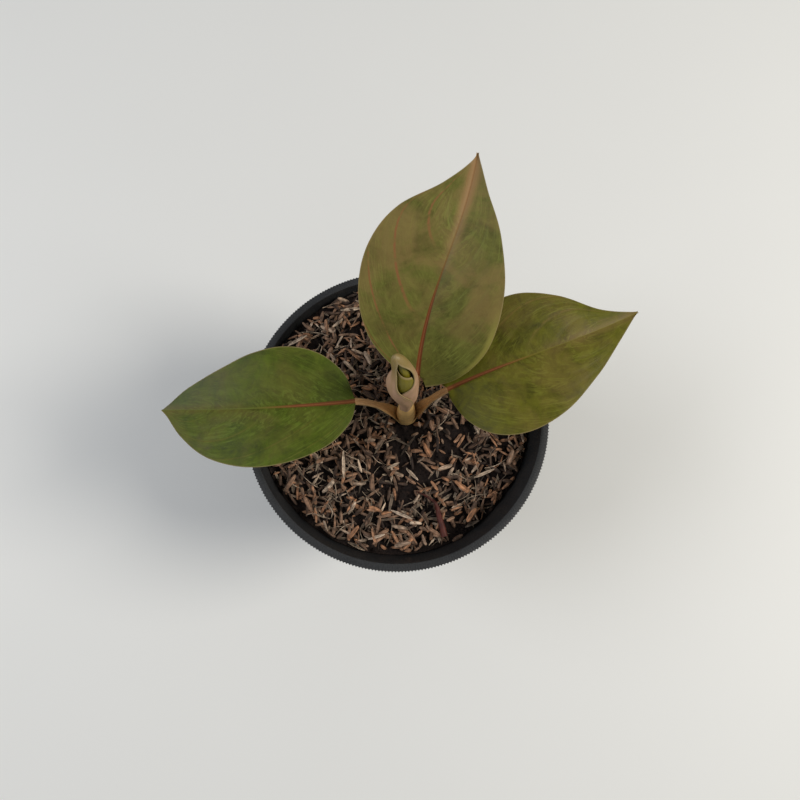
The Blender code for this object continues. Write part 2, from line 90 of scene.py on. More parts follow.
class PotSettings(bpy.types.PropertyGroup):
    base_radius: length("Base radius", "Outer radius of the foot ring", 52 * MM)
    wall: length("Wall", "Thickness of the tapered wall", 1.6 * MM)
    floor: length("Floor", "Thickness of the floor", 2 * MM)
    lip_width: length("Lip width", "Width of the flat lip", 4 * MM)
    lip_thickness: length("Lip thickness", "Thickness of the flat lip", 2 * MM)
    collar_height: length("Collar height", "Height of the ribbed collar", 18 * MM)
    collar_wall: length("Collar wall", "Thickness of the ribbed collar", 1.2 * MM)
    foot_height: length("Foot height", "Height of the foot ring", 2.5 * MM)
    foot_width: length("Foot width", "Width of the foot ring", 4 * MM)
    boss_radius: length("Boss radius", "Radius of the centre boss", 14 * MM)
    drain_radius: length("Drain hole radius", "Radius of each drain hole", 4.5 * MM)
    drain_count: count("Drain holes", "Number of drain holes", 6)
    rib_count: count("Ribs", "Number of fine ribs round the collar", 300)
    rib_depth: length("Rib depth", "How far the grooves between the ribs go in", 0.55 * MM)
    plastic: colour("Plastic", "Colour of the moulded plastic", "202122")
    dust: colour("Soil film", "Colour of the soil film on the inner wall", "2E2925")


class MixSettings(bpy.types.PropertyGroup):
    depth: length("Depth below rim", "How far the mix lies under the rim", 11 * MM)
    tilt: length("Tilt", "How much higher the mix is at its high side than in the middle", 6 * MM)
    lumps: length("Lumps", "Height of the crumbs in the surface", 1.25 * MM)
    seed: count("Seed", "Changes how the loose pieces lie", 11)
    husks: count("Husks", "Number of rice husks", 1650)
    slivers: count("Slivers", "Number of wood slivers", 520)
    fibres: count("Fibres", "Number of thin fibres", 200)
    crumbs: count("Crumbs", "Number of dark crumbs", 900)
    crumb: colour("Crumb", "Colour of the moist compost", "19100C")
    husk_dark: colour("Dark husk", "Colour of the weathered husks", "30221B")
    husk_mid: colour("Husk", "Colour of most husks", "8E705A")
    husk_warm: colour("Warm husk", "Colour of the salmon tinted husks", "B3805C")
    husk_pale: colour("Pale husk", "Colour of the palest husks", "E8CEB2")
    wood: colour("Wood", "Colour of the wood slivers", "9A8772")
    stalk: colour("Withered stalk", "Colour of the fallen leaf stalk", "5A2A20")


class PlantSettings(bpy.types.PropertyGroup):
    stem_radius: length("Stem radius", "Radius of the cane", 2.8 * MM)
    petiole_radius: length("Petiole radius", "Radius of each leaf stalk", 1.6 * MM)
    sheath_width: length("Sheath width", "Half-width of the sheath, measured round the cane", 4.6 * MM)
    blade_thickness: length("Blade thickness", "Thickness of each blade", 0.45 * MM)
    vein_relief: length("Vein relief", "How deep the side veins lie in the blade", 0.12 * MM)
    side_veins: number("Side veins", "Main side veins to each side", 6.5)
    green_left: colour("Left leaf", "Green of the left leaf", "48550C")
    green_back: colour("Back leaf", "Olive of the back leaf", "5E6123")
    green_right: colour("Right leaf", "Olive green of the right leaf", "58570A")
    rib_red: colour("Midrib", "Red of the midribs and of some side veins", "7E3A17")
    blush: colour("Blush", "Pink of the flushed parts of the leaves", "A27C54")
    margin: colour("Margin", "Pale pink of the leaf margins", "A08C62")
    stalk: colour("Petiole", "Tan of the petioles", "BE905E")
    sheath: colour("Sheath", "Pale tan of the sheaths", "F2C67E")
    bud_outside: colour("New leaf outside", "Pinkish cream of the rolled leaf", "C09A7C")
    bud_inside: colour("New leaf inside", "Yellow green inside the rolled leaf", "7E7416")


class StageSettings(bpy.types.PropertyGroup):
    floor_size: length("Floor size", "Side of the floor", 4.0)
    floor_colour: colour("Floor", "Colour of the floor", "F4F4F0")
    key_power: number("Key light", "Power of the key light in watts", 15.8)
    sky: number("Sky", "Strength of the even light", 0.26)


# Modelling helpers ----------------------------------------------------------------------------------

def deselect():
    if bpy.context.object and bpy.context.object.mode != "OBJECT":
        bpy.ops.object.mode_set(mode="OBJECT")
    bpy.ops.object.select_all(action="DESELECT")


def only(piece):
    deselect()
    piece.select_set(True)
    bpy.context.view_layer.objects.active = piece


def edit(piece, *steps):
    """Runs edit mode steps, each an operator and its settings, on the whole mesh of one piece."""
    only(piece)
    bpy.ops.object.mode_set(mode="EDIT")
    for operator, settings in steps:
        bpy.ops.mesh.select_all(action="SELECT")
        operator(**settings)
    bpy.ops.object.mode_set(mode="OBJECT")


def close_up(piece):
    """Welds the seams and poles, fills the open ends and turns the faces outwards."""
    edit(piece,
         (bpy.ops.mesh.remove_doubles, {"threshold": 0.000002}),
         (bpy.ops.mesh.fill_holes, {"sides": 0}),
         (bpy.ops.mesh.normals_make_consistent, {"inside": False}))


def modify(piece, kind, **settings):
    """Adds a modifier with its settings and applies it."""
    only(piece)
    modifier = piece.modifiers.new(kind.lower(), kind)
    for name, value in settings.items():
        setattr(modifier, name, value)
    bpy.ops.object.modifier_apply(modifier=modifier.name)


def joined(name, pieces):
    """Joins pieces into one object."""
    deselect()
    for piece in pieces:
        piece.select_set(True)
    bpy.context.view_layer.objects.active = pieces[0]
    bpy.ops.object.join()
    whole = bpy.context.active_object
    whole.name = whole.data.name = name
    return whole


def laid_grid(name, rows, columns, place, marks=None):
    """A grid primitive whose vertices are laid where place says, by row and column.
    marks gives values that the materials read, by row and column."""
    deselect()
    bpy.ops.mesh.primitive_grid_add(x_subdivisions=rows, y_subdivisions=columns, size=2)
    piece = bpy.context.active_object
    piece.name = piece.data.name = name
    spots = [(round((vertex.co.x + 1) / 2 * rows), round((vertex.co.y + 1) / 2 * columns))
             for vertex in piece.data.vertices]
    for vertex, spot in zip(piece.data.vertices, spots):
        vertex.co = place(*spot)
    if marks:
        values = [marks(*spot) for spot in spots]
        for key in values[0]:
            mark(piece, key, [value[key] for value in values])
    return piece


def mark(piece, key, values):
    attribute = piece.data.attributes.new(key, "FLOAT", "POINT")
    attribute.data.foreach_set("value", values)


def follow(values, share):
    """A smooth reading of equally spaced numbers or vectors at a share of their run."""
    last = len(values) - 1
    index = max(0, min(int(share * last), last - 1))
    local = share * last - index
    before = values[max(index - 1, 0)]
    start = values[index]
    end = values[index + 1]
    after = values[min(index + 2, last)]
    slope_in = (end - before) * 0.5
    slope_out = (after - start) * 0.5
    square = local * local
    cube = square * local
    return (start * (2 * cube - 3 * square + 1) + slope_in * (cube - 2 * square + local)
            + end * (3 * square - 2 * cube) + slope_out * (cube - square))


def mix(first, second, share):
    return first + (second - first) * max(0.0, min(1.0, share))


def polar(radius, angle, height=0.0):
    return Vector((radius * math.cos(angle), radius * math.sin(angle), height))


def rod(name, points, radii, sides=10):
    """A closed round rod laid along points."""
    last = len(points) - 1
    runs = [(points[min(index + 1, last)] - points[max(index - 1, 0)]).normalized()
            for index in range(last + 1)]
    across = runs[0].orthogonal().normalized()
    frames = []
    for run in runs:
        across = (across - run * across.dot(run)).normalized()
        frames.append((across.copy(), run.cross(across)))

    def place(row, column):
        turn = 2 * math.pi * column / sides
        side, up = frames[row]
        return points[row] + (side * math.cos(turn) + up * math.sin(turn)) * radii[row]

    piece = laid_grid(name, last, sides, place, lambda row, column: {"along": row / last})
    close_up(piece)
    return piece


def hand_over(piece, slot, skins, *nodes, angle=None):
    """Finishes a piece: its faces flow into each other up to an angle, it gets its materials, and it
    rides on the pot's body in place of the CAD nodes that it stands for."""
    if angle:
        only(piece)
        bpy.ops.object.shade_smooth_by_angle(angle=math.radians(angle))
    for skin in skins:
        piece.data.materials.append(skin)
    deselect()
    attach(piece, BODY)
    if nodes:
        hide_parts(*nodes)


# Materials ------------------------------------------------------------------------------------------

WHITE = (1.0, 1.0, 1.0)
LIP_LINES = 390


def feed(node, inputs):
    """Links or sets a node's inputs, by name, or as a tuple in the order of the inputs in use. A node
    that is given as a value stands for its first output in use."""
    if isinstance(inputs, tuple):
        inputs = dict(zip([place for place, socket in enumerate(node.inputs) if socket.enabled], inputs))
    for name, value in inputs.items():
        socket = node.inputs[name]
        if isinstance(value, bpy.types.Node):
            value = next(output for output in value.outputs if output.enabled)
        if isinstance(value, bpy.types.NodeSocket):
            node.id_data.links.new(value, socket)
        else:
            socket.default_value = (*value, 1.0) if socket.type == "RGBA" else value


def add(tree, kind, inputs=(), stops=(), **settings):
    """Adds a node with its settings, its inputs and, on a colour ramp, its stops."""
    node = tree.nodes.new("ShaderNode" + kind)
    for name, value in settings.items():
        setattr(node, name, value)
    feed(node, inputs)
    if stops:
        elements = node.color_ramp.elements
        while len(elements) < len(stops):
            elements.new(0.5)
        for element, (position, shade) in zip(elements, stops):
            element.position = position
            element.color = (*((shade,) * 3 if isinstance(shade, float) else shade), 1.0)
    return node


def coats(tree, body, *layers):
    """Lays shades over a body colour. Each layer is a shade and the factors that make up its share."""
    for shade, share, *factors in layers:
        for factor in factors:
            share = add(tree, "Math", (share, factor), operation="MULTIPLY")
        body = add(tree, "Mix", (share, body, shade), data_type="RGBA")
    return body


def per(size):
    """Scale of a pattern whose marks measure that many millimetres."""
    return 1 / (size * MM)


def tint(*parts):
    """A shade mixed from others, each followed by its weight."""
    return tuple(sum(shade[level] * weight for shade, weight in zip(parts[::2], parts[1::2]))
                 for level in range(3))


def new_material(name, roughness, specular):
    """A material with its tree, its coordinates and the values that are the same all over."""
    material = bpy.data.materials.new(name)
    material.use_nodes = True
    tree = material.node_tree
    feed(tree.nodes["Principled BSDF"], {"Roughness": roughness, "Specular IOR Level": specular})
    return material, tree, add(tree, "TexCoord").outputs["Object"]


def dress(material, body, relief=None, strength=0.0, depth=0.0, roughness=None, **settings):
    """Gives a material its colour and, where it has them, its relief and its uneven roughness."""
    inputs = {"Base Color": body}
    if relief:
        inputs["Normal"] = add(material.node_tree, "Bump",
                               {"Strength": strength, "Distance": depth, "Height": relief}, **settings)
    if roughness:
        inputs["Roughness"] = roughness
    feed(material.node_tree.nodes["Principled BSDF"], inputs)
    return material


def pot_plastic(settings):
    """Moulded black polypropylene: matte, with the fine grain of the mould and a dull soil film where
    water stood inside."""
    material, tree, place = new_material("moulded_black_polypropylene", 0.5, 0.5)
    axes = add(tree, "SeparateXYZ", (place,)).outputs
    # Fine radial lines of the mould on the lip, 1.2 mm apart.
    angle = add(tree, "Math", (axes["Y"], axes["X"]), operation="ARCTAN2")
    spokes = add(tree, "Math", (angle, LIP_LINES), operation="MULTIPLY")
    lines = add(tree, "Math", (spokes,), operation="SINE")
    grain = add(tree, "TexNoise", {"Vector": place, "Scale": per(0.588), "Detail": 3.0,
                                   "Roughness": 0.65})
    smear = add(tree, "TexNoise", {"Vector": place, "Scale": per(11.1), "Detail": 4.0})
    # The soil film begins 4 mm under the lip and is full at 13 mm.
    dull = add(tree, "ValToRGB", (smear,), stops=((0.35, 0.0), (0.75, 1.0)))
    low = add(tree, "MapRange", (axes["Z"], POT_HEIGHT - 4 * MM, POT_HEIGHT - 13 * MM, 0.0, 0.85))
    level = add(tree, "VectorMath", (place, (1.0, 1.0, 0.0)), operation="MULTIPLY")
    spread = add(tree, "VectorMath", (level,), operation="LENGTH")
    inside = add(tree, "Math", (spread, RIM_RADIUS - 3.2 * MM), operation="LESS_THAN")
    tone = add(tree, "MapRange", (grain, 0.3, 0.75, 0.3, 2.5))
    black = add(tree, "VectorMath", (settings.plastic, tone), operation="MULTIPLY")
    height = add(tree, "Math", (lines, 0.35, grain), operation="MULTIPLY_ADD")
    body = coats(tree, black, (settings.dust, low, inside, dull))
    return dress(material, body, height, strength=0.5, depth=0.1 * MM,
                 roughness=add(tree, "MapRange", (smear, 0.3, 0.7, 0.42, 0.62)))


def compost(settings):
    """Moist composted bark: near black crumbs with brown ones between them, with no gloss."""
    material, tree, place = new_material("moist_compost", 0.9, 0.3)
    crumbs = add(tree, "TexVoronoi", {"Vector": place, "Scale": per(1.613)}).outputs
    fine = add(tree, "TexNoise", {"Vector": place, "Scale": per(1.111), "Detail": 4.0})
    shade = add(tree, "MapRange", (fine, 0.3, 0.7, 0.35, 1.9))
    brown = add(tree, "VectorMath", (settings.crumb, shade), operation="MULTIPLY")
    grit = add(tree, "Math", (crumbs["Color"], 0.86), operation="GREATER_THAN")
    height = add(tree, "Math", (crumbs["Distance"], fine), operation="SUBTRACT")
    body = coats(tree, brown, (settings.husk_dark, grit))
    return dress(material, body, height, strength=0.8, depth=0.5 * MM, invert=True)


def dry_litter(name, stops, streaks):
    """Dry plant matter, such as rice husk or split wood: matte to satiny and streaked lengthwise. Each
    piece has its own tone from the stops, which run from dark weathered ones to pale fresh ones."""
    material, tree, place = new_material(name, 0.75, 0.4)
    tone = add(tree, "Attribute", attribute_name="tone").outputs["Fac"]
    base = add(tree, "ValToRGB", (tone,), stops=stops)
    drawn = add(tree, "Mapping", {"Vector": add(tree, "UVMap"), "Scale": (1.6, streaks, 1.0)})
    fibre = add(tree, "TexNoise", {"Vector": drawn, "W": tone, "Scale": 1.0, "Detail": 3.0},
                noise_dimensions="4D")
    blotch = add(tree, "TexNoise", {"Vector": place, "Scale": per(2.381), "Detail": 3.0})
    light = add(tree, "MapRange", (fibre, 0.34, 0.66, 0.35, 1.5))
    stain = add(tree, "MapRange", (blotch, 0.36, 0.64, 0.45, 1.25))
    both = add(tree, "Math", (light, stain), operation="MULTIPLY")
    body = add(tree, "VectorMath", (base, both), operation="MULTIPLY")
    return dress(material, body, fibre, strength=0.6, depth=0.15 * MM)


def blade_upper(name, settings, green, leaf):
    """Living leaf skin: a waxy satin green with soft mottles and short pale strokes along the side veins,
    a red brown midrib that is strongest at its foot, and a thin pale margin."""
    material, tree, place = new_material(name, 0.5, 0.2)
    redness = leaf["redness"]
    along, side, from_rib, from_edge, vein, left = (
        add(tree, "Attribute", attribute_name=key).outputs["Fac"]
        for key in ("along", "side", "from_rib", "from_edge", "vein", "left"))
    right = add(tree, "Math", (1.0, left), operation="SUBTRACT")
    light = tint(green, 1.55, (0.02, 0.03, 0.012), 1)
    # Soft mottles, about 8 mm across, and finer ones in them.
    mottle = add(tree, "TexNoise", {"Vector": place, "Scale": per(8.333), "Detail": 6.0,
                                    "Roughness": 0.74, "Distortion": 0.6})
    depth = add(tree, "MapRange", (mottle, 0.34, 0.66, 0.0, 1.0))
    # Pale strokes between the side veins, in patches about 16 mm across.
    run = add(tree, "CombineXYZ", (vein, side, left))
    drawn = add(tree, "Mapping", {"Vector": run, "Scale": (3.4, 5.2, 5.0)})
    stroke = add(tree, "TexNoise", {"Vector": drawn, "Scale": 1.0, "Detail": 6.0, "Roughness": 0.7,
                                    "Distortion": 1.6})
    strokes = add(tree, "MapRange", (stroke, 0.5, 0.6, 0.0, 0.72))
    patch = add(tree, "TexNoise", {"Vector": place, "Scale": per(16.13), "Detail": 3.0,
                                   "Roughness": 0.6})
    patches = add(tree, "MapRange", (patch, 0.4, 0.56, 0.18, 1.0))
    # Bronze clouds, 15 to 20 mm across, that fade towards the foot of the blade.
    cloud = add(tree, "TexNoise", {"Vector": place, "Scale": per(17.24), "Detail": 5.0,
                                   "Roughness": 0.6, "Distortion": 0.7})
    bronze = add(tree, "MapRange", (cloud, 0.4, 0.62, 0.15 * redness, 0.16 + 0.66 * redness))
    away = add(tree, "MapRange", (along, 0.05, 0.35, 0.2, 1.0))
    # Faint side veins, and on the left half of a flushed leaf every other one is red.
    wobble = add(tree, "Math", (mottle, 0.2, vein), operation="MULTIPLY_ADD")
    centre = add(tree, "Math", (wobble, 0.5), operation="PINGPONG")
    line = add(tree, "MapRange", (centre, 0.05, 0.0, 0.0, 0.3), interpolation_type="SMOOTHSTEP")
    odd = add(tree, "Math", (wobble, 1.0), operation="SUBTRACT")
    second = add(tree, "Math", (odd, 1.0), operation="PINGPONG")
    red_line = add(tree, "MapRange", (second, 0.12, 0.02, 0.0, redness * 1.1),
                   interpolation_type="SMOOTHSTEP")
    outer = add(tree, "MapRange", (side, 0.15, 0.45, 0.1, 1.0))
    broken = add(tree, "MapRange", (mottle, 0.38, 0.52, 0.1, 1.0))
    # Painted sheen: greyish paint on the far part of the right half, standing in for the reflection of the
    # sky.
    painted_sheen = add(tree, "MapRange", (along, 0.4, 0.95, 0.0, leaf["painted_sheen"]))
    # Blush on both sides of the midrib towards the tip.
    near = add(tree, "MapRange", (from_rib, 4 * MM, 0.0, 0.0, 1.0), interpolation_type="SMOOTHSTEP")
    tip = add(tree, "MapRange", (along, 0.42, 0.8, 0.0, 0.05 + redness))
    # Painted highlight: a pale stripe inside the margin near the foot of the right half, where the
    # curled-down margin catches the light.
    painted_fold_highlight = add(tree, "MapRange", (from_edge, 3.4 * MM, 1.2 * MM, 0.0, leaf["painted_fold_highlight"]),
              interpolation_type="SMOOTHSTEP")
    painted_fold_highlight_run = add(tree, "ValToRGB", (along,), stops=((0.03, 0.0), (0.1, 1.0), (0.24, 1.0), (0.4, 0.0)))
    # Midrib: 2.3 mm wide at its foot with dark flanks, then a thin line.
    rib_width = add(tree, "MapRange", (along, 0.0, 0.5, 1.15 * MM, 0.36 * MM))
    rib_place = add(tree, "Math", (from_rib, rib_width), operation="DIVIDE")
    rib = add(tree, "MapRange", (rib_place, 1.1, 0.7, 0.0, 1.0), interpolation_type="SMOOTHSTEP")
    rib_seen = add(tree, "MapRange", (along, 0.36, 0.62, 0.95, 0.35))
    brown = tint(settings.rib_red, 0.6 + 0.4 * redness, settings.stalk, 0.16 * (1 - redness))
    crest = tint(brown, 1.3 - 0.8 * redness, settings.blush, 0.45 * redness)
    rib_foot = add(tree, "ValToRGB", (rib_place,),
                   stops=((0.0, crest), (0.3, brown), (0.75, tint(brown, 0.75)), (1.0, brown)))
    upward = add(tree, "MapRange", (along, 0.28, 0.5, 0.0, 1.0))
    rib_shade = coats(tree, rib_foot, (tint(light, 1 - redness, brown, redness), upward))
    edge = add(tree, "MapRange", (from_edge, 0.5 * MM, 0.15 * MM, 0.0, 0.5))
    body = coats(
        tree, tint(green, 0.58),
        (tint(green, 1.36, (0.0, 0.0, green[2]), 0.24), depth),
        (light, strokes, patches),
        (tint(green, 0.5, settings.blush, 0.55), bronze, away),
        (light, line, patches),
        (tint(settings.rib_red, 0.6, settings.blush, 0.4), red_line, outer, broken, left),
        # Painted sheen: greyish, on the right half towards the tip.
        (tint(green, 0.6, WHITE, 0.09), painted_sheen, right),
        (settings.blush, near, tip),
        # Painted highlight along the curled-down margin near the foot of the right half.
        (tint(light, 1, settings.blush, 0.3), painted_fold_highlight, right, painted_fold_highlight_run),
        (rib_shade, rib, rib_seen),
        (settings.margin, edge))
    # Cells of the skin, drawn at 0.7 mm, coarser than real, so that they show.
    cells = add(tree, "TexNoise", {"Vector": place, "Scale": per(0.714), "Detail": 2.0})
    fine = add(tree, "Math", (cells, 0.3, stroke), operation="MULTIPLY_ADD")
    return dress(material, body, fine, strength=0.4, depth=0.25 * MM,
                 roughness=add(tree, "MapRange", (mottle, 0.3, 0.7, 0.44, 0.56)))


def blade_under(name, settings, green):
    """Underside of the leaf: paler and duller than its face, with the veins raised and pinkish."""
    material, tree, place = new_material(name, 0.55, 0.35)
    vein, from_rib = (add(tree, "Attribute", attribute_name=key).outputs["Fac"]
                      for key in ("vein", "from_rib"))
    cloud = add(tree, "TexNoise", {"Vector": place, "Scale": per(6.25), "Detail": 4.0})
    centre = add(tree, "Math", (vein, 0.5), operation="PINGPONG")
    line = add(tree, "MapRange", (centre, 0.06, 0.0, 0.0, 0.5), interpolation_type="SMOOTHSTEP")
    rib = add(tree, "MapRange", (from_rib, 1.7 * MM, 0.9 * MM, 0.0, 0.85))
    body = coats(tree, tint(green, 0.95, WHITE, 0.02), (tint(green, 1.3, WHITE, 0.035), cloud),
                 (settings.margin, line), (settings.stalk, rib))
    return dress(material, body, cloud, strength=0.3, depth=0.2 * MM)


def petiole_skin(settings):
    """Fleshy leaf stalk: satin, pale at the sheath, then tan with brown red streaks lengthwise."""
    material, tree, _ = new_material("petiole_skin", 0.45, 0.45)
    along, side = (add(tree, "Attribute", attribute_name=key).outputs["Fac"] for key in ("along", "side"))
    run = add(tree, "CombineXYZ", (along, side, 0.0))
    drawn = add(tree, "Mapping", {"Vector": run, "Scale": (3.0, 6.0, 1.0)})
    streak = add(tree, "TexNoise", {"Vector": drawn, "Scale": 2.0, "Detail": 3.0})
    skin = add(tree, "ValToRGB", (streak,),
               stops=((0.38, tint(settings.stalk, 0.75, settings.rib_red, 0.25)),
                      (0.52, settings.stalk), (0.68, settings.sheath)))
    low = add(tree, "MapRange", (along, -1.0, -0.55, 1.0, 0.0))
    edge = add(tree, "MapRange", (side, 0.7, 1.0, 0.0, 0.6))
    body = coats(tree, skin, (settings.sheath, low), (settings.margin, edge))
    return dress(material, body, streak, strength=0.4, depth=0.2 * MM)


def bud_skin(name, shade, other, margin, ribs):
    """Skin of a leaf that is still rolled: soft satin, with faint ribs lengthwise, an olive top and a
    pale margin."""
    material, tree, place = new_material(name, 0.45, 0.4)
    drawn = add(tree, "Mapping", {"Vector": add(tree, "UVMap"), "Scale": (2.0, ribs, 1.0)})
    streak = add(tree, "TexNoise", {"Vector": drawn, "Scale": 1.0, "Detail": 3.0})
    cloud = add(tree, "TexNoise", {"Vector": place, "Scale": per(6.667), "Detail": 3.0})
    both = add(tree, "Math", (streak, cloud), operation="ADD")
    share = add(tree, "MapRange", (both, 0.9, 1.25, 0.0, 0.4))
    height, from_edge = (add(tree, "Attribute", attribute_name=key).outputs["Fac"]
                         for key in ("along", "from_edge"))
    top = add(tree, "MapRange", (height, 0.66, 0.9, 0.0, 0.85))
    edge = add(tree, "MapRange", (from_edge, 0.8 * MM, 0.2 * MM, 0.0, 0.9))
    body = coats(tree, shade, (other, share), (tint(other, 0.95), top), (margin, edge))
    return dress(material, body, streak, strength=0.5, depth=0.25 * MM)


def plain_flesh(name, shade, dark, size, roughness):
    """Root flesh, cane skin or a withered stalk: blotched between two shades and finely wrinkled."""
    material, tree, place = new_material(name, roughness, 0.35)
    blotch = add(tree, "TexNoise", {"Vector": place, "Scale": per(size), "Detail": 5.0})
    wrinkle = add(tree, "TexNoise", {"Vector": place, "Scale": per(size / 4), "Detail": 3.0})
    body = add(tree, "ValToRGB", (blotch,), stops=((0.35, dark), (0.62, shade)))
    return dress(material, body, wrinkle, strength=0.6, depth=0.2 * MM)


def floor_finish(settings):
    """Glazed floor tile without joints: pale and even, with a soft sheen."""
    material, tree, place = new_material("pale_glazed_floor", 0.5, 0.25)
    cloud = add(tree, "TexNoise", {"Vector": place, "Scale": per(166.7), "Detail": 2.0})
    return dress(material, coats(tree, tint(settings.floor_colour, 0.97),
                                 (settings.floor_colour, cloud)))


# Pot ------------------------------------------------------------------------------------------------

EDGE = 0.5 * MM
COLLAR_DRAFT = 0.4 * MM
COLLAR_TOP = 1.2 * MM
LIP_DISH = 0.12 * MM
FILLET = 3 * MM
TURNS_PER_RIB = 4
NOTCH = (12 * MM, 8 * MM, 4 * MM)


def outer_radius(settings, height):
    under_lip = RIM_RADIUS - settings.lip_width + settings.wall
    return settings.base_radius + (under_lip - settings.base_radius) * height / POT_HEIGHT


def inner_radius(settings, height):
    return outer_radius(settings, height) - settings.wall


def pot_profile(pot):
    """Section of the pot, from the middle of its floor up the inside, over the lip and down outside."""
    floor = pot.foot_height + pot.floor
    collar_foot = POT_HEIGHT - pot.collar_height
    under = POT_HEIGHT - pot.lip_thickness
    corner = inner_radius(pot, floor + FILLET)
    fillet = [(corner - FILLET * (1 - math.sin(turn)), floor + FILLET * (1 - math.cos(turn)))
              for turn in map(math.radians, (0, 30, 60, 90))]
    top = inner_radius(pot, POT_HEIGHT)
    out = RIM_RADIUS - COLLAR_DRAFT
    quarter = tuple(map(math.radians, (0, 45, 90)))
    round_in = [(top + EDGE * (1 - math.cos(turn)), POT_HEIGHT - EDGE * (1 - math.sin(turn)))
                for turn in quarter]
    round_out = [(RIM_RADIUS - EDGE * (1 - math.sin(turn)), POT_HEIGHT - EDGE * (1 - math.cos(turn)))
                 for turn in quarter]
    collar = [(mix(RIM_RADIUS, out, share), mix(POT_HEIGHT - COLLAR_TOP, collar_foot, share))
              for share in (0.0, 0.06, 0.5, 0.94, 1.0)]
    return [
        (0.0, floor), *fillet,
        (inner_radius(pot, POT_HEIGHT * 0.5), POT_HEIGHT * 0.5),
        *round_in, (RIM_RADIUS - pot.lip_width * 0.55, POT_HEIGHT - LIP_DISH), *round_out, *collar,
        (out - pot.collar_wall, collar_foot), (RIM_RADIUS - pot.collar_wall, under),
        (outer_radius(pot, under), under), (outer_radius(pot, POT_HEIGHT * 0.5), POT_HEIGHT * 0.5),
        (outer_radius(pot, EDGE), EDGE), (pot.base_radius - EDGE, 0.0),
        (pot.base_radius - pot.foot_width, 0.0),
        (pot.base_radius - pot.foot_width - EDGE, pot.foot_height),
        (pot.boss_radius + EDGE, pot.foot_height), (pot.boss_radius, 0.0), (0.0, 0.0),
    ]


def spun(name, profile, steps):
    """A profile turned round the upright axis by the spin operator."""
    mesh = bpy.data.meshes.new(name)
    mesh.from_pydata([(radius, 0.0, height) for radius, height in profile],
                     [(index, index + 1) for index in range(len(profile) - 1)], [])
    piece = bpy.data.objects.new(name, mesh)
    bpy.context.scene.collection.objects.link(piece)
    edit(piece,
         (bpy.ops.mesh.spin, {"steps": steps, "angle": 2 * math.pi, "center": (0, 0, 0),
                              "axis": (0, 0, 1)}),
         (bpy.ops.mesh.remove_doubles, {"threshold": 0.000005}),
         (bpy.ops.mesh.normals_make_consistent, {"inside": False}))
    return piece


def cut_ribs(piece, pot):
    """Sinks the grooves between the fine upright ribs into the collar."""
    steps = pot.rib_count * TURNS_PER_RIB
    low = POT_HEIGHT - pot.collar_height + 0.5 * MM
    high = POT_HEIGHT - 0.1 * MM
    face = RIM_RADIUS - COLLAR_DRAFT - pot.collar_wall / 2
    for vertex in piece.data.vertices:
        spread = vertex.co.xy.length
        if spread > face and low < vertex.co.z < high:
            turn = round(math.atan2(vertex.co.y, vertex.co.x) / (2 * math.pi) * steps)
            if turn % TURNS_PER_RIB < TURNS_PER_RIB / 2:
                vertex.co.xy *= (spread - pot.rib_depth) / spread


def cutter_at(angle, spread, kind, **settings):
    deselect()
    kind(location=polar(spread, angle), **settings)
    return bpy.context.active_object


def cut(piece, cutters):
    """Takes the cutters out of a piece with one Boolean, then throws them away."""
    cutter = joined("cutter", cutters)
    modify(piece, "BOOLEAN", operation="DIFFERENCE", object=cutter, solver="EXACT")
    bpy.data.objects.remove(cutter, do_unlink=True)


class OBJECT_OT_evergreen_pot(bpy.types.Operator):
    """Turn the nursery pot, cut its ribs, drain holes and foot notches"""
    bl_idname = "object.evergreen_pot"
    bl_label = "Nursery Pot"

    def execute(self, context):
        pot = context.scene.evergreen_pot
        piece = spun("nursery_pot", pot_profile(pot), pot.rib_count * TURNS_PER_RIB)
        cut_ribs(piece, pot)
        ring = (pot.boss_radius + pot.base_radius - pot.foot_width) / 2
        cutters = []
        for index in range(pot.drain_count):
            angle = 2 * math.pi * index / pot.drain_count
            cutters.append(cutter_at(angle, ring, bpy.ops.mesh.primitive_cylinder_add, vertices=40,
                                     radius=pot.drain_radius, depth=20 * MM))
            angle += math.pi / pot.drain_count
            cutters.append(cutter_at(angle, pot.base_radius - pot.foot_width / 2,
                                     bpy.ops.mesh.primitive_cube_add, size=1, rotation=(0, 0, angle),
                                     scale=NOTCH))
        cut(piece, cutters)
        hand_over(piece, "pot_plastic", [pot_plastic(pot)], "pot", angle=30)
        return {"FINISHED"}


# Potting mix and what lies on it --------------------------------------------------------------------

HOLLOW = Vector((0.61, -0.61))
HOLLOW_DEPTH = 4.5 * MM
HOLLOW_SPREAD = 18 * MM
HIGH_SIDE = math.radians(135)
CROWN = Vector((4.5 * MM, 0.0))
# Sizes of the crumbs in the surface, in millimetres, each with its share of their height.
CRUMB_SIZES = ((7.0, 1.0), (3.1, 0.7), (1.5, 0.45))
BED_RINGS = 84
BED_STEPS = 260
BED_SINK = 0.8 * MM
MAP_CELL = 1 * MM
MAP_HALF = 80
STEEPEST = 0.6
HIGHEST_PERCH = 1.6 * MM
WALL_ROOM = 0.9 * MM
CANE_ROOM = 5 * MM


def mix_height(x, y):
    """Height of the even surface of the mix: tilted, with a hollow at the front right."""
    pot = bpy.context.scene.evergreen_pot
    mix_settings = bpy.context.scene.evergreen_mix
    spread = inner_radius(pot, POT_HEIGHT)
    tilt = mix_settings.tilt * (x * math.cos(HIGH_SIDE) + y * math.sin(HIGH_SIDE)) / spread
    away = (Vector((x, y)) - HOLLOW * spread).length / HOLLOW_SPREAD
    return POT_HEIGHT - mix_settings.depth + tilt - HOLLOW_DEPTH * math.exp(-away * away)


def crown():
    return Vector((CROWN.x, CROWN.y, mix_height(CROWN.x, CROWN.y)))


def bed_height(x, y):
    """The surface of the mix with its crumbs and hollows."""
    lumps = bpy.context.scene.evergreen_mix.lumps
    spot = Vector((x, y, 0.0))
    rough = sum(share * noise.noise(spot / (size * MM)) for size, share in CRUMB_SIZES)
    return mix_height(x, y) - BED_SINK + lumps * rough


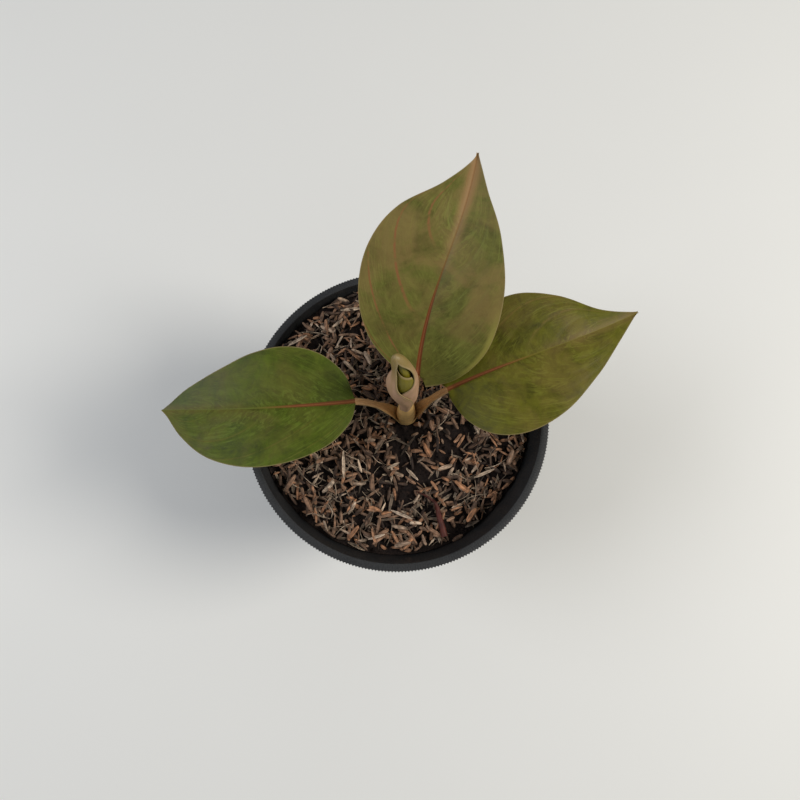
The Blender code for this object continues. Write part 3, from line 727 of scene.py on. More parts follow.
def bed_reach(pot, angle):
    """Where the surface of the mix meets the pot's wall."""
    radius = inner_radius(pot, POT_HEIGHT) * 0.95
    for _ in range(4):
        spot = polar(radius, angle)
        radius = inner_radius(pot, mix_height(spot.x, spot.y) - 2 * MM) - GAP
    return radius


class Ground:
    """Keeps the height of the pile as loose pieces come to lie on it."""

    def __init__(self):
        cells = range(-MAP_HALF, MAP_HALF + 1)
        self.heights = {(x, y): bed_height(x * MAP_CELL, y * MAP_CELL) for x in cells for y in cells}

    def at(self, spot):
        return self.heights[(round(spot.x / MAP_CELL), round(spot.y / MAP_CELL))]

    def lay(self, centre, turn, run, breadth, rise):
        """Lays a flat piece down and returns its middle and its slope along its length."""
        ahead = polar(1.0, turn)
        shares = (-0.5, -0.25, 0.0, 0.25, 0.5)
        levels = [self.at(centre + ahead * run * share) for share in shares]
        slope = (levels[4] + levels[3] - levels[1] - levels[0]) / (1.5 * run)
        slope = max(-STEEPEST, min(STEEPEST, slope))
        height = max(level - slope * run * share for level, share in zip(levels, shares))
        height = min(height, sorted(levels)[2] + HIGHEST_PERCH)
        self.raise_by(centre, ahead, run, breadth, height, slope, rise)
        return Vector((centre.x, centre.y, height)), math.atan(slope)

    def raise_by(self, centre, ahead, run, breadth, height, slope, rise):
        beside = Vector((-ahead.y, ahead.x, 0.0))
        steps = max(2, round(run / (0.8 * MAP_CELL)))
        for step in range(steps + 1):
            share = step / steps - 0.5
            for side in (-0.3, 0.3):
                spot = centre + ahead * run * share + beside * breadth * side
                cell = (round(spot.x / MAP_CELL), round(spot.y / MAP_CELL))
                level = height + slope * run * share + rise
                if cell in self.heights and self.heights[cell] < level:
                    self.heights[cell] = level


# Where the mix was watered, as places and radii in millimetres: most husks have floated off, and the
# dark compost shows.
DAMP_PLACES = ((13, -19, 15), (0, -38, 9), (-21, 1, 10), (29, -9, 10))
DAMP_SHARE = 0.6

# The pile that loose pieces are laid on. It is there once the mix is.
GROUND = {}

HUSK_STATIONS = (-1.0, -0.88, -0.5, 0.0, 0.5, 0.88, 1.0)
# Kinds of husk: the height of the keel, the bend to the side, and the width at each station.
HUSK_KINDS = (
    (0.36, 0.0, (0.1, 0.62, 0.95, 1.0, 0.9, 0.55, 0.08)),
    (0.28, 0.16, (0.3, 0.8, 1.0, 0.92, 0.8, 0.6, 0.2)),
    (0.46, -0.1, (0.05, 0.5, 0.85, 1.0, 1.0, 0.75, 0.25)),
)


def husk_template(index):
    """A rice husk: a keeled boat of thin shell with parallel sides and short points, one unit long and
    one wide."""
    keel, bow, widths = HUSK_KINDS[index % len(HUSK_KINDS)]

    def place(row, column):
        along = HUSK_STATIONS[row]
        across = column / 2 - 1
        lift = keel * widths[row] * (1 - across * across)
        return Vector((along / 2, across / 2 * widths[row] + bow * (1 - along * along), lift))

    piece = laid_grid(f"husk_template_{index}", 6, 4, place)
    modify(piece, "SOLIDIFY", thickness=0.055, offset=-1.0)
    return piece


def sliver_template(index):
    """A split of wood: a flat four-sided splinter with torn, pointed ends, one unit long and wide."""
    deselect()
    bpy.ops.mesh.primitive_cube_add(size=1)
    piece = bpy.context.active_object
    piece.name = f"sliver_template_{index}"
    edit(piece, (bpy.ops.mesh.subdivide, {"number_cuts": 2}))
    draw = random.Random(40 + index)
    for vertex in piece.data.vertices:
        along = vertex.co.x * 2
        taper = mix(1.0, 0.22 + 0.2 * draw.random(), abs(along) ** 2)
        vertex.co.x += 0.08 * (draw.random() - 0.5)
        vertex.co.y = vertex.co.y * taper + 0.05 * (draw.random() - 0.5)
        vertex.co.z = vertex.co.z * 0.11 * (0.7 + 0.6 * draw.random()) * mix(1.0, 0.6, abs(along))
    edit(piece, (bpy.ops.mesh.normals_make_consistent, {"inside": False}))
    return piece


def fibre_template(index):
    """A loose fibre: a thin thread with a lazy bend, one unit long."""
    bend = (0.16, -0.12)[index % 2]
    points = [Vector((share - 0.5, bend * math.sin(share * 3.0), 0.02 * math.sin(share * 7)))
              for share in (0.0, 0.17, 0.33, 0.5, 0.67, 0.83, 1.0)]
    return rod(f"fibre_template_{index}", points, [0.012, 0.02, 0.022, 0.022, 0.02, 0.016, 0.008],
               sides=4)


def crumb_template(index):
    """A crumb of compost: an uneven lump, one unit across."""
    deselect()
    bpy.ops.mesh.primitive_ico_sphere_add(subdivisions=2, radius=0.5)
    piece = bpy.context.active_object
    piece.name = f"crumb_template_{index}"
    for vertex in piece.data.vertices:
        lump = noise.noise(vertex.co * 2.6 + Vector((index * 3.1, 0.0, 0.0)))
        vertex.co *= 0.85 + 0.55 * lump
    return piece


def laid_copy(template, matrix, tone):
    """A copy of a template with its own mesh, laid in place, with its tone."""
    mesh = template.data.copy()
    mesh.transform(matrix)
    piece = bpy.data.objects.new(template.name, mesh)
    bpy.context.scene.collection.objects.link(piece)
    mark(piece, "tone", [tone] * len(mesh.vertices))
    return piece


def lying(place, turn, pitch, roll, scale):
    """Matrix of a loose piece: its scale, its roll about its length, its pitch, its compass turn."""
    return (Matrix.Translation(place) @ Matrix.Rotation(turn, 4, "Z") @ Matrix.Rotation(-pitch, 4, "Y")
            @ Matrix.Rotation(roll, 4, "X") @ Matrix.Diagonal((*scale, 1.0)))


def free_spot(draw, run):
    """A random place on the mix for a piece of that length, clear of the wall and of the cane."""
    pot = bpy.context.scene.evergreen_pot
    while True:
        angle = draw.uniform(0, 2 * math.pi)
        spot = polar(inner_radius(pot, POT_HEIGHT) * math.sqrt(draw.random()), angle)
        turn = draw.uniform(0, 2 * math.pi)
        half = polar(run / 2, turn)
        reach = max((spot + half).length, (spot - half).length)
        room = inner_radius(pot, mix_height(spot.x, spot.y)) - WALL_ROOM
        away = (spot - Vector((CROWN.x, CROWN.y, 0.0))).length
        damp = (any((spot - Vector((x, y, 0)) * MM).length < radius * MM for x, y, radius in DAMP_PLACES)
                and draw.random() < DAMP_SHARE)
        if reach < room and away > CANE_ROOM + run * 0.35 and not damp:
            return spot, turn


def scatter(name, template_maker, kinds, amount, draw, size, tone, lift, roll):
    """Lays many loose pieces of a few kinds on the pile and joins them. Size and tone are functions of
    the draw, lift is how many times its rise a piece is lifted, and roll is how far it may tip over."""
    templates = [template_maker(index) for index in range(kinds)]
    pieces = []
    for index in range(amount):
        run, breadth, rise = size(draw)
        spot, turn = free_spot(draw, run)
        place, pitch = GROUND["mix"].lay(spot, turn, run, breadth, rise)
        place.z += lift * rise
        matrix = lying(place, turn, pitch + draw.gauss(0, 0.2), draw.gauss(0, roll),
                       (run, breadth, max(breadth, 0.4 * MM)))
        pieces.append(laid_copy(templates[index % kinds], matrix, tone(draw)))
    for template in templates:
        bpy.data.objects.remove(template, do_unlink=True)
    return joined(name, pieces)


class OBJECT_OT_evergreen_mix(bpy.types.Operator):
    """Fill the pot with potting mix and give it a crumbly surface"""
    bl_idname = "object.evergreen_mix"
    bl_label = "Potting Mix"

    def execute(self, context):
        pot = context.scene.evergreen_pot
        floor = pot.foot_height + pot.floor + GAP
        foot = inner_radius(pot, floor + FILLET) - GAP
        reach = [bed_reach(pot, 2 * math.pi * step / BED_STEPS) for step in range(BED_STEPS)]
        sides = [(0.0, floor), (foot - FILLET, floor), (foot, floor + FILLET)]

        def place(row, column):
            angle = 2 * math.pi * column / BED_STEPS
            if row < len(sides):
                return polar(sides[row][0], angle, sides[row][1])
            share = 1 - (row - len(sides)) / (BED_RINGS - len(sides))
            spot = polar(reach[column % BED_STEPS] * share, angle)
            return Vector((spot.x, spot.y, bed_height(spot.x, spot.y)))

        piece = laid_grid("potting_mix_bed", BED_RINGS, BED_STEPS, place)
        close_up(piece)
        hand_over(piece, "rice_husk_mix", [compost(context.scene.evergreen_mix)], "potting_mix", angle=60)
        GROUND["mix"] = Ground()
        return {"FINISHED"}


class OBJECT_OT_evergreen_litter(bpy.types.Operator):
    """Strew crumbs, rice husks, wood slivers and fibres over the potting mix"""
    bl_idname = "object.evergreen_litter"
    bl_label = "Loose Litter"

    def execute(self, context):
        settings = context.scene.evergreen_mix
        draw = random.Random(settings.seed)
        dark, mid, pale = settings.husk_dark, settings.husk_mid, settings.husk_pale
        tones = ((0.0, dark), (0.35, mid), (0.6, settings.husk_warm), (0.75, mid), (1.0, pale))
        husk = dry_litter("dry_rice_husk", tones, 9.0)
        wood = dry_litter("weathered_wood_sliver", ((0.0, dark), (0.5, settings.wood), (1.0, pale)), 14.0)

        def crumb_size(draw):
            width = draw.uniform(0.8, 2.4) * MM
            return width, width * draw.uniform(0.7, 1.0), width * 0.4

        def husk_size(draw):
            run = max(3.0, min(9.5, draw.gauss(6.0, 1.6))) * MM
            return run, draw.uniform(1.2, 2.2) * MM, 0.5 * MM

        def sliver_size(draw):
            run = max(3.0, min(13.0, draw.gauss(6.5, 2.8))) * MM
            return run, draw.uniform(0.6, 1.7) * MM, 0.35 * MM

        def fibre_size(draw):
            return draw.uniform(5, 15) * MM, 9 * MM, 0.1 * MM

        crumbs = scatter("compost_crumbs", crumb_template, 4, settings.crumbs, draw, crumb_size,
                         lambda draw: draw.random(), 0.3, 0.6)
        hand_over(crumbs, "rice_husk_mix", [bpy.data.materials["moist_compost"]], angle=50)
        for part in ("lower", "upper"):
            slivers = scatter(f"wood_slivers_{part}", sliver_template, 4, round(settings.slivers / 2),
                              draw, sliver_size, lambda draw: draw.betavariate(1.1, 1.7), 0.7, 0.6)
            hand_over(slivers, "wood_sliver", [wood])
            husks = scatter(f"rice_husks_{part}", husk_template, 3, round(settings.husks / 2),
                            draw, husk_size, lambda draw: draw.betavariate(1.1, 1.5), 1.0, 0.75)
            hand_over(husks, "dry_husk", [husk], angle=50)
        fibres = scatter("loose_fibres", fibre_template, 2, settings.fibres, draw, fibre_size,
                         lambda draw: draw.betavariate(2, 2), 1.5, 0.3)
        hand_over(fibres, "wood_sliver", [wood])
        return {"FINISHED"}


def cad_run(node):
    """The two ends and the width of a long flat CAD piece."""
    spots = [Vector((vertex.co.x, vertex.co.y, 0.0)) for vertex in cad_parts[node].data.vertices]
    middle = sum(spots, Vector()) / len(spots)
    start = max(spots, key=lambda spot: (spot - middle).length)
    end = max(spots, key=lambda spot: (spot - start).length)
    ahead = (end - start).normalized()
    width = 2 * max(abs((spot - start).cross(ahead).z) for spot in spots)
    return start, end, width


WARM_CHIPS = ("husk_1", "husk_8", "husk_15", "husk_17", "husk_23")
WARM_TONE = 0.58
CHIP_RISE = 0.5 * MM


class OBJECT_OT_evergreen_chips(bpy.types.Operator):
    """Lay the distinct husks and slivers on top of the litter, each as its own piece"""
    bl_idname = "object.evergreen_chips"
    bl_label = "Distinct Chips"

    def execute(self, context):
        draw = random.Random(context.scene.evergreen_mix.seed + 1)
        husks = [husk_template(index) for index in range(3)]
        slivers = [sliver_template(index) for index in range(3)]
        nodes = sorted(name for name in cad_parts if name.startswith(("husk_", "sliver_")))
        for index, node in enumerate(nodes):
            is_husk = node.startswith("husk_")
            start, end, width = cad_run(node)
            run = (end - start).length
            turn = math.atan2(end.y - start.y, end.x - start.x)
            place, pitch = GROUND["mix"].lay((start + end) / 2, turn, run, width, CHIP_RISE)
            place.z += CHIP_RISE
            tone = WARM_TONE if node in WARM_CHIPS else draw.uniform(0.7, 0.95)
            template = husks[index % 3] if is_husk else slivers[index % 3]
            chip = laid_copy(template, lying(place, turn, pitch, draw.gauss(0, 0.35),
                                             (run, width * 0.72, width * 0.72)), tone)
            chip.name = chip.data.name = f"loose_{node}"
            skin, slot = (("dry_rice_husk", "dry_husk") if is_husk
                          else ("weathered_wood_sliver", "wood_sliver"))
            hand_over(chip, slot, [bpy.data.materials[skin]], node, angle=50)
        for template in husks + slivers:
            bpy.data.objects.remove(template, do_unlink=True)
        return {"FINISHED"}


# The fallen stalk: its route and radii in millimetres from its thick end, whose place is given as
# shares of the pot's inner radius.
STALK_ROUTE = ((0.0, 0.0), (-2.2, 8.5), (-3.8, 15.0), (-6.9, 18.5), (-13.8, 22.0))
STALK_RADII = (1.7, 1.45, 1.05, 0.55, 0.3)
STALK_FOOT = Vector((0.33, -0.83))
STALK_ROWS = 40
BRIDGING_STEPS = 6
SAGGING_STEPS = 10


class OBJECT_OT_evergreen_stalk(bpy.types.Operator):
    """Lay the withered leaf stalk on the litter"""
    bl_idname = "object.evergreen_stalk"
    bl_label = "Fallen Stalk"

    def execute(self, context):
        foot = STALK_FOOT * inner_radius(context.scene.evergreen_pot, POT_HEIGHT)
        corners = [Vector((foot.x + x * MM, foot.y + y * MM, 0.0)) for x, y in STALK_ROUTE]
        points, radii = [], []
        for row in range(STALK_ROWS + 1):
            share = row / STALK_ROWS
            spot = follow(corners, share)
            shrivel = 1 + 0.18 * noise.noise(Vector((row * 0.7, 3.0, 0.0)))
            radius = follow([value * MM for value in STALK_RADII], share) * shrivel
            spot.z = GROUND["mix"].at(spot) + radius * 0.9
            points.append(spot)
            radii.append(radius)
        # It bridges the hollows between the husks, and then sags evenly.
        for step in range(BRIDGING_STEPS + SAGGING_STEPS):
            heights = [point.z for point in points]
            for row in range(1, STALK_ROWS):
                between = (heights[row - 1] + heights[row + 1]) / 2
                bridged = max(heights[row], between)
                points[row].z = bridged if step < BRIDGING_STEPS else (heights[row] + between) / 2
        piece = rod("withered_leaf_stalk", points, radii, sides=12)
        red = context.scene.evergreen_mix.stalk
        skin = plain_flesh("withered_stalk_skin", red, tint(red, 0.35), 3.846, 0.6)
        hand_over(piece, "withered_stalk", [skin], "fallen_leaf_stalk", angle=60)
        return {"FINISHED"}


# Stem and roots -------------------------------------------------------------------------------------

STEM_ABOVE = 4 * MM
STEM_DEPTH = 40 * MM
STEM_ROWS = 60
SCAR_STEP = 5.2 * MM
SCAR_RISE = 0.25 * MM


class OBJECT_OT_evergreen_stem(bpy.types.Operator):
    """Grow the cane with its ring scars and give the roots their skin"""
    bl_idname = "object.evergreen_stem"
    bl_label = "Cane and Roots"

    def execute(self, context):
        plant = context.scene.evergreen_plant
        points, radii = [], []
        for row in range(STEM_ROWS + 1):
            share = row / STEM_ROWS
            height = mix(-STEM_DEPTH, STEM_ABOVE, share)
            scar = max(0.0, math.cos(height / SCAR_STEP * 2 * math.pi)) ** 10
            end = min(1.0, share * 12, (1 - share) * 12 + 0.3) ** 0.5
            points.append(crown() + Vector((0, 0, height)))
            radii.append((plant.stem_radius + SCAR_RISE * scar) * max(0.15, end))
        piece = rod("cane", points, radii, sides=28)
        skin = plain_flesh("cane_skin", plant.sheath, tint(plant.sheath, 0.45), 4.545, 0.5)
        hand_over(piece, "stem_skin", [skin], "stem", angle=50)
        flesh = plain_flesh("fleshy_root_skin", linear("C8B48A"), linear("8A7048"), 6.25, 0.6)
        for name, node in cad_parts.items():
            if name.startswith("root_"):
                node.data.materials.clear()
                node.data.materials.append(flesh)
        return {"FINISHED"}


# Leaves ---------------------------------------------------------------------------------------------

BLADE_ROWS = 132
PETIOLE_ROWS = 28
HALF_COLUMNS = 36
STATION_EVENNESS = 0.45
FOLD = math.radians(12)
DROOP = 0.45
TIP_HALF_WIDTH = 0.5 * MM
RIB_END = 0.35 * MM
HANDLE = 12 * MM
PROBE = 0.01
# The sheath starts at its foot beside the cane, wraps it, and thins out to its margins. The petiole leans
# out from the CAD's own sheath radius, and hugs the cane a little more.
SHEATH_FOOT = 3.6 * MM
SHEATH_START = 1.3 * MM
SHEATH_RADIUS = 2.3 * MM
SHEATH_HUG = 1.2 * MM
SHEATH_WALL = 0.9 * MM
SHEATH_END = 0.62
WRAP_RADIUS = 3.9 * MM
# Relief of a blade: the run over which its side veins are counted, their breadth, its waves at the
# margin, its lumps, the groove over the midrib, and the round top of the petiole, as a share of its
# radius, which flattens out over the first share of the blade.
VEIN_RUN = 110 * MM
VEIN_BREADTH = 2.2 * MM
WAVE = 0.7 * MM
LUMP = 0.5 * MM
LUMP_SIZE = 17 * MM
GROOVE = 0.45 * MM
GROOVE_BREADTH = 0.9 * MM
CREST = 0.45
CREST_RUN = 0.03

LeafRow = namedtuple("LeafRow", "place run left up to_left to_right rib crest wrap along")

# Each leaf, in millimetres from the crown: the side of the cane it stands on, two bends of its petiole
# from its foot, the midrib as one cubic, half-widths to the left and right at equal steps round a half
# circle drawn over the midrib, how far its two lobes hang back and its margins curl down, where its side
# veins start, how red it is, and how strong its painted sheen and its painted highlight on the curled
# margin are.
LEAVES = {
    "left": {
        "side": 180,
        "bends": ((-2.4, 0.5, 17.7), (-9.1, 0.8, 31.7)),
        "midrib": ((-23.0, 0.7, 41.0), (-56.0, -4.5, 51.0), (-80.0, -3.8, 45.0), (-111.5, -2.0, 34.0)),
        "left": (0, 10.0, 19.5, 25.0, 26.5, 22.5, 13.0, 3.0, 0),
        "right": (0, 13.0, 23.0, 27.0, 24.5, 17.2, 9.8, 2.8, 0),
        "lobes": (0.0, 0.0), "curl": (0.0, 0.0), "start": 0.2, "redness": 0.1, "painted_sheen": 0.3, "painted_fold_highlight": 0.0,
    },
    "back": {
        "side": 90,
        "bends": ((1.6, 1.6, 16.7), (4.6, 3.6, 32.7)),
        "midrib": ((4.6, 10.8, 48.5), (7.5, 42.3, 72.0), (21.5, 55.4, 86.0), (28.1, 92.7, 87.0)),
        "left": (0, 12.0, 24.5, 31.5, 32.0, 25.5, 10.8, 1.8, 0),
        "right": (0, 17.0, 27.0, 29.3, 26.4, 18.0, 7.5, 1.8, 0),
        "lobes": (1.0, 6.0), "curl": (0.0, 3.0), "start": -0.5, "redness": 0.75, "painted_sheen": 0.12, "painted_fold_highlight": 0.85,
    },
    "right": {
        "side": 2,
        "bends": ((2.1, 1.8, 19.7), (7.1, 3.8, 32.7)),
        "midrib": ((18.0, 5.6, 43.0), (43.0, 16.0, 55.0), (69.5, 21.8, 57.0), (102.6, 39.4, 49.0)),
        "left": (0, 12.0, 21.5, 27.0, 27.5, 20.5, 7.8, 1.8, 0),
        "right": (0, 15.5, 27.0, 31.5, 28.5, 19.0, 8.5, 1.8, 0),
        "lobes": (2.0, 1.0), "curl": (0.0, 0.0), "start": 0.1, "redness": 0.2, "painted_sheen": 0.0, "painted_fold_highlight": 0.0,
    },
}


def half_width(leaf, key, along):
    """The half-widths are listed at equal turns of a half circle whose diameter is the midrib."""
    widths = [value * MM for value in leaf[key]]
    width = follow(widths, math.acos(max(-1.0, 1 - 2 * along)) / math.pi)
    petiole = bpy.context.scene.evergreen_plant.petiole_radius
    return max(width, petiole if along < 0.5 else TIP_HALF_WIDTH)


def midrib_point(leaf, along):
    start, first, second, end = (Vector(point) * MM for point in leaf["midrib"])
    back = 1 - along
    return (start * back ** 3 + first * (3 * back * back * along)
            + second * (3 * back * along * along) + end * along ** 3)


def vein_count(leaf, along, side, left):
    """Counts the side veins from the foot of the blade: they leave the midrib and bow to the tip."""
    veins = bpy.context.scene.evergreen_plant.side_veins
    start = leaf["start"] if left else leaf["start"] + 0.55
    return veins * (along - 0.10 * side - 0.48 * side * side) + start


def leaf_rows(leaf):
    """Rows of the leaf from the foot of its sheath to its tip, each with its place, its frame, its
    half-widths, the rib's radius under it, how round its upper side is and how far it wraps."""
    plant = bpy.context.scene.evergreen_plant
    radius = plant.petiole_radius
    side = math.radians(leaf["side"])
    foot = polar(SHEATH_FOOT, side, SHEATH_START)
    cad_foot = polar(plant.stem_radius + GAP + SHEATH_RADIUS, side, SHEATH_START)
    middle, upper = (cad_foot + Vector(bend) * MM for bend in leaf["bends"])
    middle -= polar(SHEATH_HUG, side)
    base = midrib_point(leaf, 0.0)
    ahead = (midrib_point(leaf, PROBE) - base).normalized()
    heading = Vector((ahead.x, ahead.y, 0.0)).normalized()
    bend = upper.lerp(base - ahead * HANDLE, 0.5)
    path = interpolate_bezier(foot, middle, bend, base, PETIOLE_ROWS + 1)
    side_on = polar(1.0, side)
    rows = []
    for index, place in enumerate(path[:-1]):
        share = index / PETIOLE_ROWS
        run = (path[index + 1] - path[max(index - 1, 0)]).normalized()
        facing = side_on.lerp(heading, min(1.0, share * 1.6)).normalized()
        left = Vector((0, 0, 1)).cross(facing).normalized()
        left = (left - run * left.dot(run)).normalized()
        sheath = max(0.0, 1 - share / SHEATH_END) ** 0.8
        width = mix(radius, plant.sheath_width, sheath)
        rows.append(LeafRow(place, run, left, run.cross(left), width, width,
                            mix(radius, SHEATH_WALL, sheath), 1.0, sheath, share - 1))
    for index in range(BLADE_ROWS + 1):
        share = index / BLADE_ROWS
        along = STATION_EVENNESS * share + (1 - STATION_EVENNESS) * (1 - math.cos(math.pi * share)) / 2
        before = midrib_point(leaf, max(along - PROBE, 0.0))
        run = (midrib_point(leaf, min(along + PROBE, 1.0)) - before).normalized()
        left = Vector((0, 0, 1)).cross(run).normalized()
        rows.append(LeafRow(midrib_point(leaf, along), run, left, run.cross(left),
                            half_width(leaf, "left", along), half_width(leaf, "right", along),
                            mix(radius, RIB_END, along ** 0.7), max(0.0, 1 - along / CREST_RUN), 0.0, along))
    return rows


def column_place(row, column):
    """Where a column lies: if it is on the left half and on top, its share of the way from the midrib to
    the margin, and the half-width there."""
    top = column <= 2 * HALF_COLUMNS
    step = column if top else 4 * HALF_COLUMNS - column
    share = step / HALF_COLUMNS - 1
    return share > 0, top, abs(share) ** 1.35, row.to_left if share > 0 else row.to_right


def leaf_point(leaf, row, column):
    plant = bpy.context.scene.evergreen_plant
    is_left, top, side, width = column_place(row, column)
    rib, wrap, along = row.rib, row.wrap, row.along
    distance = side * width
    sign = 1 if is_left else -1
    blade = 1 - row.crest
    if wrap > 0:
        turn = distance / WRAP_RADIUS * wrap ** 0.5
        out = WRAP_RADIUS / wrap ** 0.5 * math.sin(turn)
        rise = WRAP_RADIUS / wrap ** 0.5 * (1 - math.cos(turn)) * mix(0.3, 1.0, wrap * 1.25)
    else:
        out = distance * mix(1.0, math.cos(FOLD), blade)
        rise = math.sin(FOLD) * distance * (1 - DROOP * side) * blade
    point = row.place + row.left * (sign * out) + row.up * rise
    if along > 0:
        lobe = leaf["lobes"][0 if is_left else 1] * MM
        point -= row.run * (lobe * side * side * (1 - along) ** 8)
    vein = vein_count(leaf, max(along, 0.0), side, is_left)
    off = abs(vein - round(vein)) / plant.side_veins * VEIN_RUN
    relief = plant.vein_relief * (1 - math.exp(-(off / VEIN_BREADTH) ** 2)) * min(1.0, distance / (4 * MM))
    relief *= max(0.0, min(1.0, along / 0.3, (1 - along) / 0.3)) ** 2
    curl = leaf["curl"][0 if is_left else 1] * MM * max(0.0, (side - 0.8) / 0.2) ** 2
    curl *= math.exp(-((along - 0.22) / 0.22) ** 2)
    wave = WAVE * math.sin(9 * along + 2.5 * sign + leaf["side"]) * side * side
    lump = LUMP * noise.noise(point / LUMP_SIZE) * min(1.0, distance / (8 * MM))
    groove = GROOVE * mix(1.0, 0.25, max(along, 0.0)) * math.exp(-(distance / GROOVE_BREADTH) ** 2)
    crest = row.crest * (CREST * rib) * (1 - side ** 4) * (1 - wrap)
    height = (relief + wave + lump - curl) * blade - groove * min(1.0, 1 - wrap) + crest
    if not top:
        thick = plant.blade_thickness * mix(1.0, 0.7, side)
        ridge = math.sqrt(max(0.0, rib * rib - distance * distance)) * 1.15
        if wrap > 0:
            ridge = rib * (1 - side * side)
        height -= (thick + ridge) * math.sqrt(max(0.0, 1 - side ** 12)) + crest * 0.2
    return point + row.up * height + crown()


def leaf_marks(leaf, row, column):
    """What the leaf's materials read at a point."""
    is_left, top, side, width = column_place(row, column)
    return {"along": row.along, "side": side, "from_rib": side * width, "from_edge": (1 - side) * width,
            "vein": vein_count(leaf, max(row.along, 0.0), side, is_left), "left": float(is_left),
            "upper": float(top)}


def face_slots(piece):
    """Gives the blade's upper side, its underside and the petiole their material slots."""
    along = piece.data.attributes["along"].data
    upper = piece.data.attributes["upper"].data
    for face in piece.data.polygons:
        reach = max(along[index].value for index in face.vertices)
        top = sum(upper[index].value for index in face.vertices) / len(face.vertices)
        face.material_index = 2 if reach <= 0 else (0 if top > 0.49 else 1)


class OBJECT_OT_evergreen_leaves(bpy.types.Operator):
    """Grow the three open leaves, each from its sheath to the tip of its blade"""
    bl_idname = "object.evergreen_leaves"
    bl_label = "Leaves"

    def execute(self, context):
        plant = context.scene.evergreen_plant
        stalk = petiole_skin(plant)
        for name, leaf in LEAVES.items():
            rows = leaf_rows(leaf)
            piece = laid_grid(f"evergreen_leaf_{name}", len(rows) - 1, 4 * HALF_COLUMNS,
                              lambda row, column: leaf_point(leaf, rows[row], column),
                              lambda row, column: leaf_marks(leaf, rows[row], column))
            close_up(piece)
            green = getattr(plant, f"green_{name}")
            skins = [blade_upper(f"leaf_skin_{name}", plant, green, leaf),
                     blade_under(f"leaf_underside_{name}", plant, green), stalk]
            hand_over(piece, "leaf_green", skins, f"leaf_{name}", angle=70)
            face_slots(piece)
        return {"FINISHED"}


# Rolled new leaf, in millimetres and degrees, at equal steps up its height: its axis from the crown, its
# radius, half the angle of its mouth, which is negative where the margins overlap, and the compass
# direction of its mouth.
BUD_AXIS = ((-0.3, 0.8, 20), (-0.3, 1.2, 30), (0.0, 2.0, 39), (-0.6, 3.0, 47), (-1.5, 4.2, 55),
            (-1.8, 4.9, 62), (-1.3, 5.1, 68), (-1.7, 6.4, 73), (-3.2, 8.4, 78), (-4.6, 9.4, 83))
BUD_RADII = (3.0, 3.0, 3.8, 5.5, 6.7, 6.6, 5.5, 4.4, 3.3, 2.1)
BUD_MOUTH = (-40, -40, -40, -38, -34, -10, 36, 54, 34, -22)
BUD_FACING = (-90, -90, -90, -92, -96, -96, -84, -72, -76, -84)
# Above this share of its height the roll closes in a round tip.
BUD_CLOSE = 0.9
BUD_ROWS = 76
BUD_COLUMNS = 84
BUD_SHELL = 0.4 * MM
# The next leaf inside it: its turns, where they start, the share of the roll's height at which it begins,
# at which its inner and its outer edge end, and its winding's shares of the roll's radius.
HEART_ROWS = 40
HEART_COLUMNS = 72
HEART_TURN = math.radians(480)
HEART_START = math.radians(-150)
HEART_FOOT = 0.12
HEART_TOPS = (0.91, 0.75)
HEART_WIND = (0.34, 0.86)
HEART_SHELL = 0.3 * MM
# The sheath under it: its top from the crown, its radii and how much broader than deep it is.
NECK_TOP = Vector((0.0, 2.0, 38.0)) * MM
NECK_LEAN = 0.6 * MM
NECK_ROWS = 24
NECK_RADII = (4.0, 4.0, 3.8, 3.4, 2.9)
NECK_BREADTHS = (1.1, 1.2, 1.12, 1.0, 1.0)


def bud_axis(share):
    """A point on the axis of the rolled leaf, at a share of its height."""
    return follow([Vector(point) * MM for point in BUD_AXIS], share) + crown()


def bud_radius(share):
    """Radius of the roll at a share of its height: it closes in a round tip."""
    tip = max(0.0, share - BUD_CLOSE) / (1 - BUD_CLOSE)
    return max(0.03, follow(BUD_RADII, share) * math.sqrt(1 - tip * tip)) * MM


def bud_point(row, column):
    """A point of the rolled blade: it goes round the axis from one margin to the other."""
    share = row / BUD_ROWS
    mouth = math.radians(follow(BUD_MOUTH, share))
    round_share = column / BUD_COLUMNS
    turn = mix(mouth, 2 * math.pi - mouth, round_share)
    winding = 1 + 0.10 * (round_share - 0.5) * (1 if share < 0.75 else max(0.0, 1 - (share - 0.75) * 5))
    ripple = 1 + 0.02 * math.sin(turn * 5 + share * 6)
    facing = math.radians(follow(BUD_FACING, share))
    return bud_axis(share) + polar(bud_radius(share) * winding * ripple, turn + facing)


def heart_point(row, column):
    """The next leaf, wound inside the new one: its outer wrap fills the mouth and its edge slopes down
    from the inner ones."""
    share = row / HEART_ROWS
    around = column / HEART_COLUMNS
    height = mix(HEART_FOOT, mix(*HEART_TOPS, around * around), share)
    close = math.sqrt(max(0.0, 1 - (max(0.0, share - 0.8) / 0.2) ** 2))
    spiral = mix(*HEART_WIND, around) * mix(mix(0.3, 0.86, around), 1.0, close)
    return bud_axis(height) + polar(bud_radius(height) * spiral, HEART_TURN * around + HEART_START)


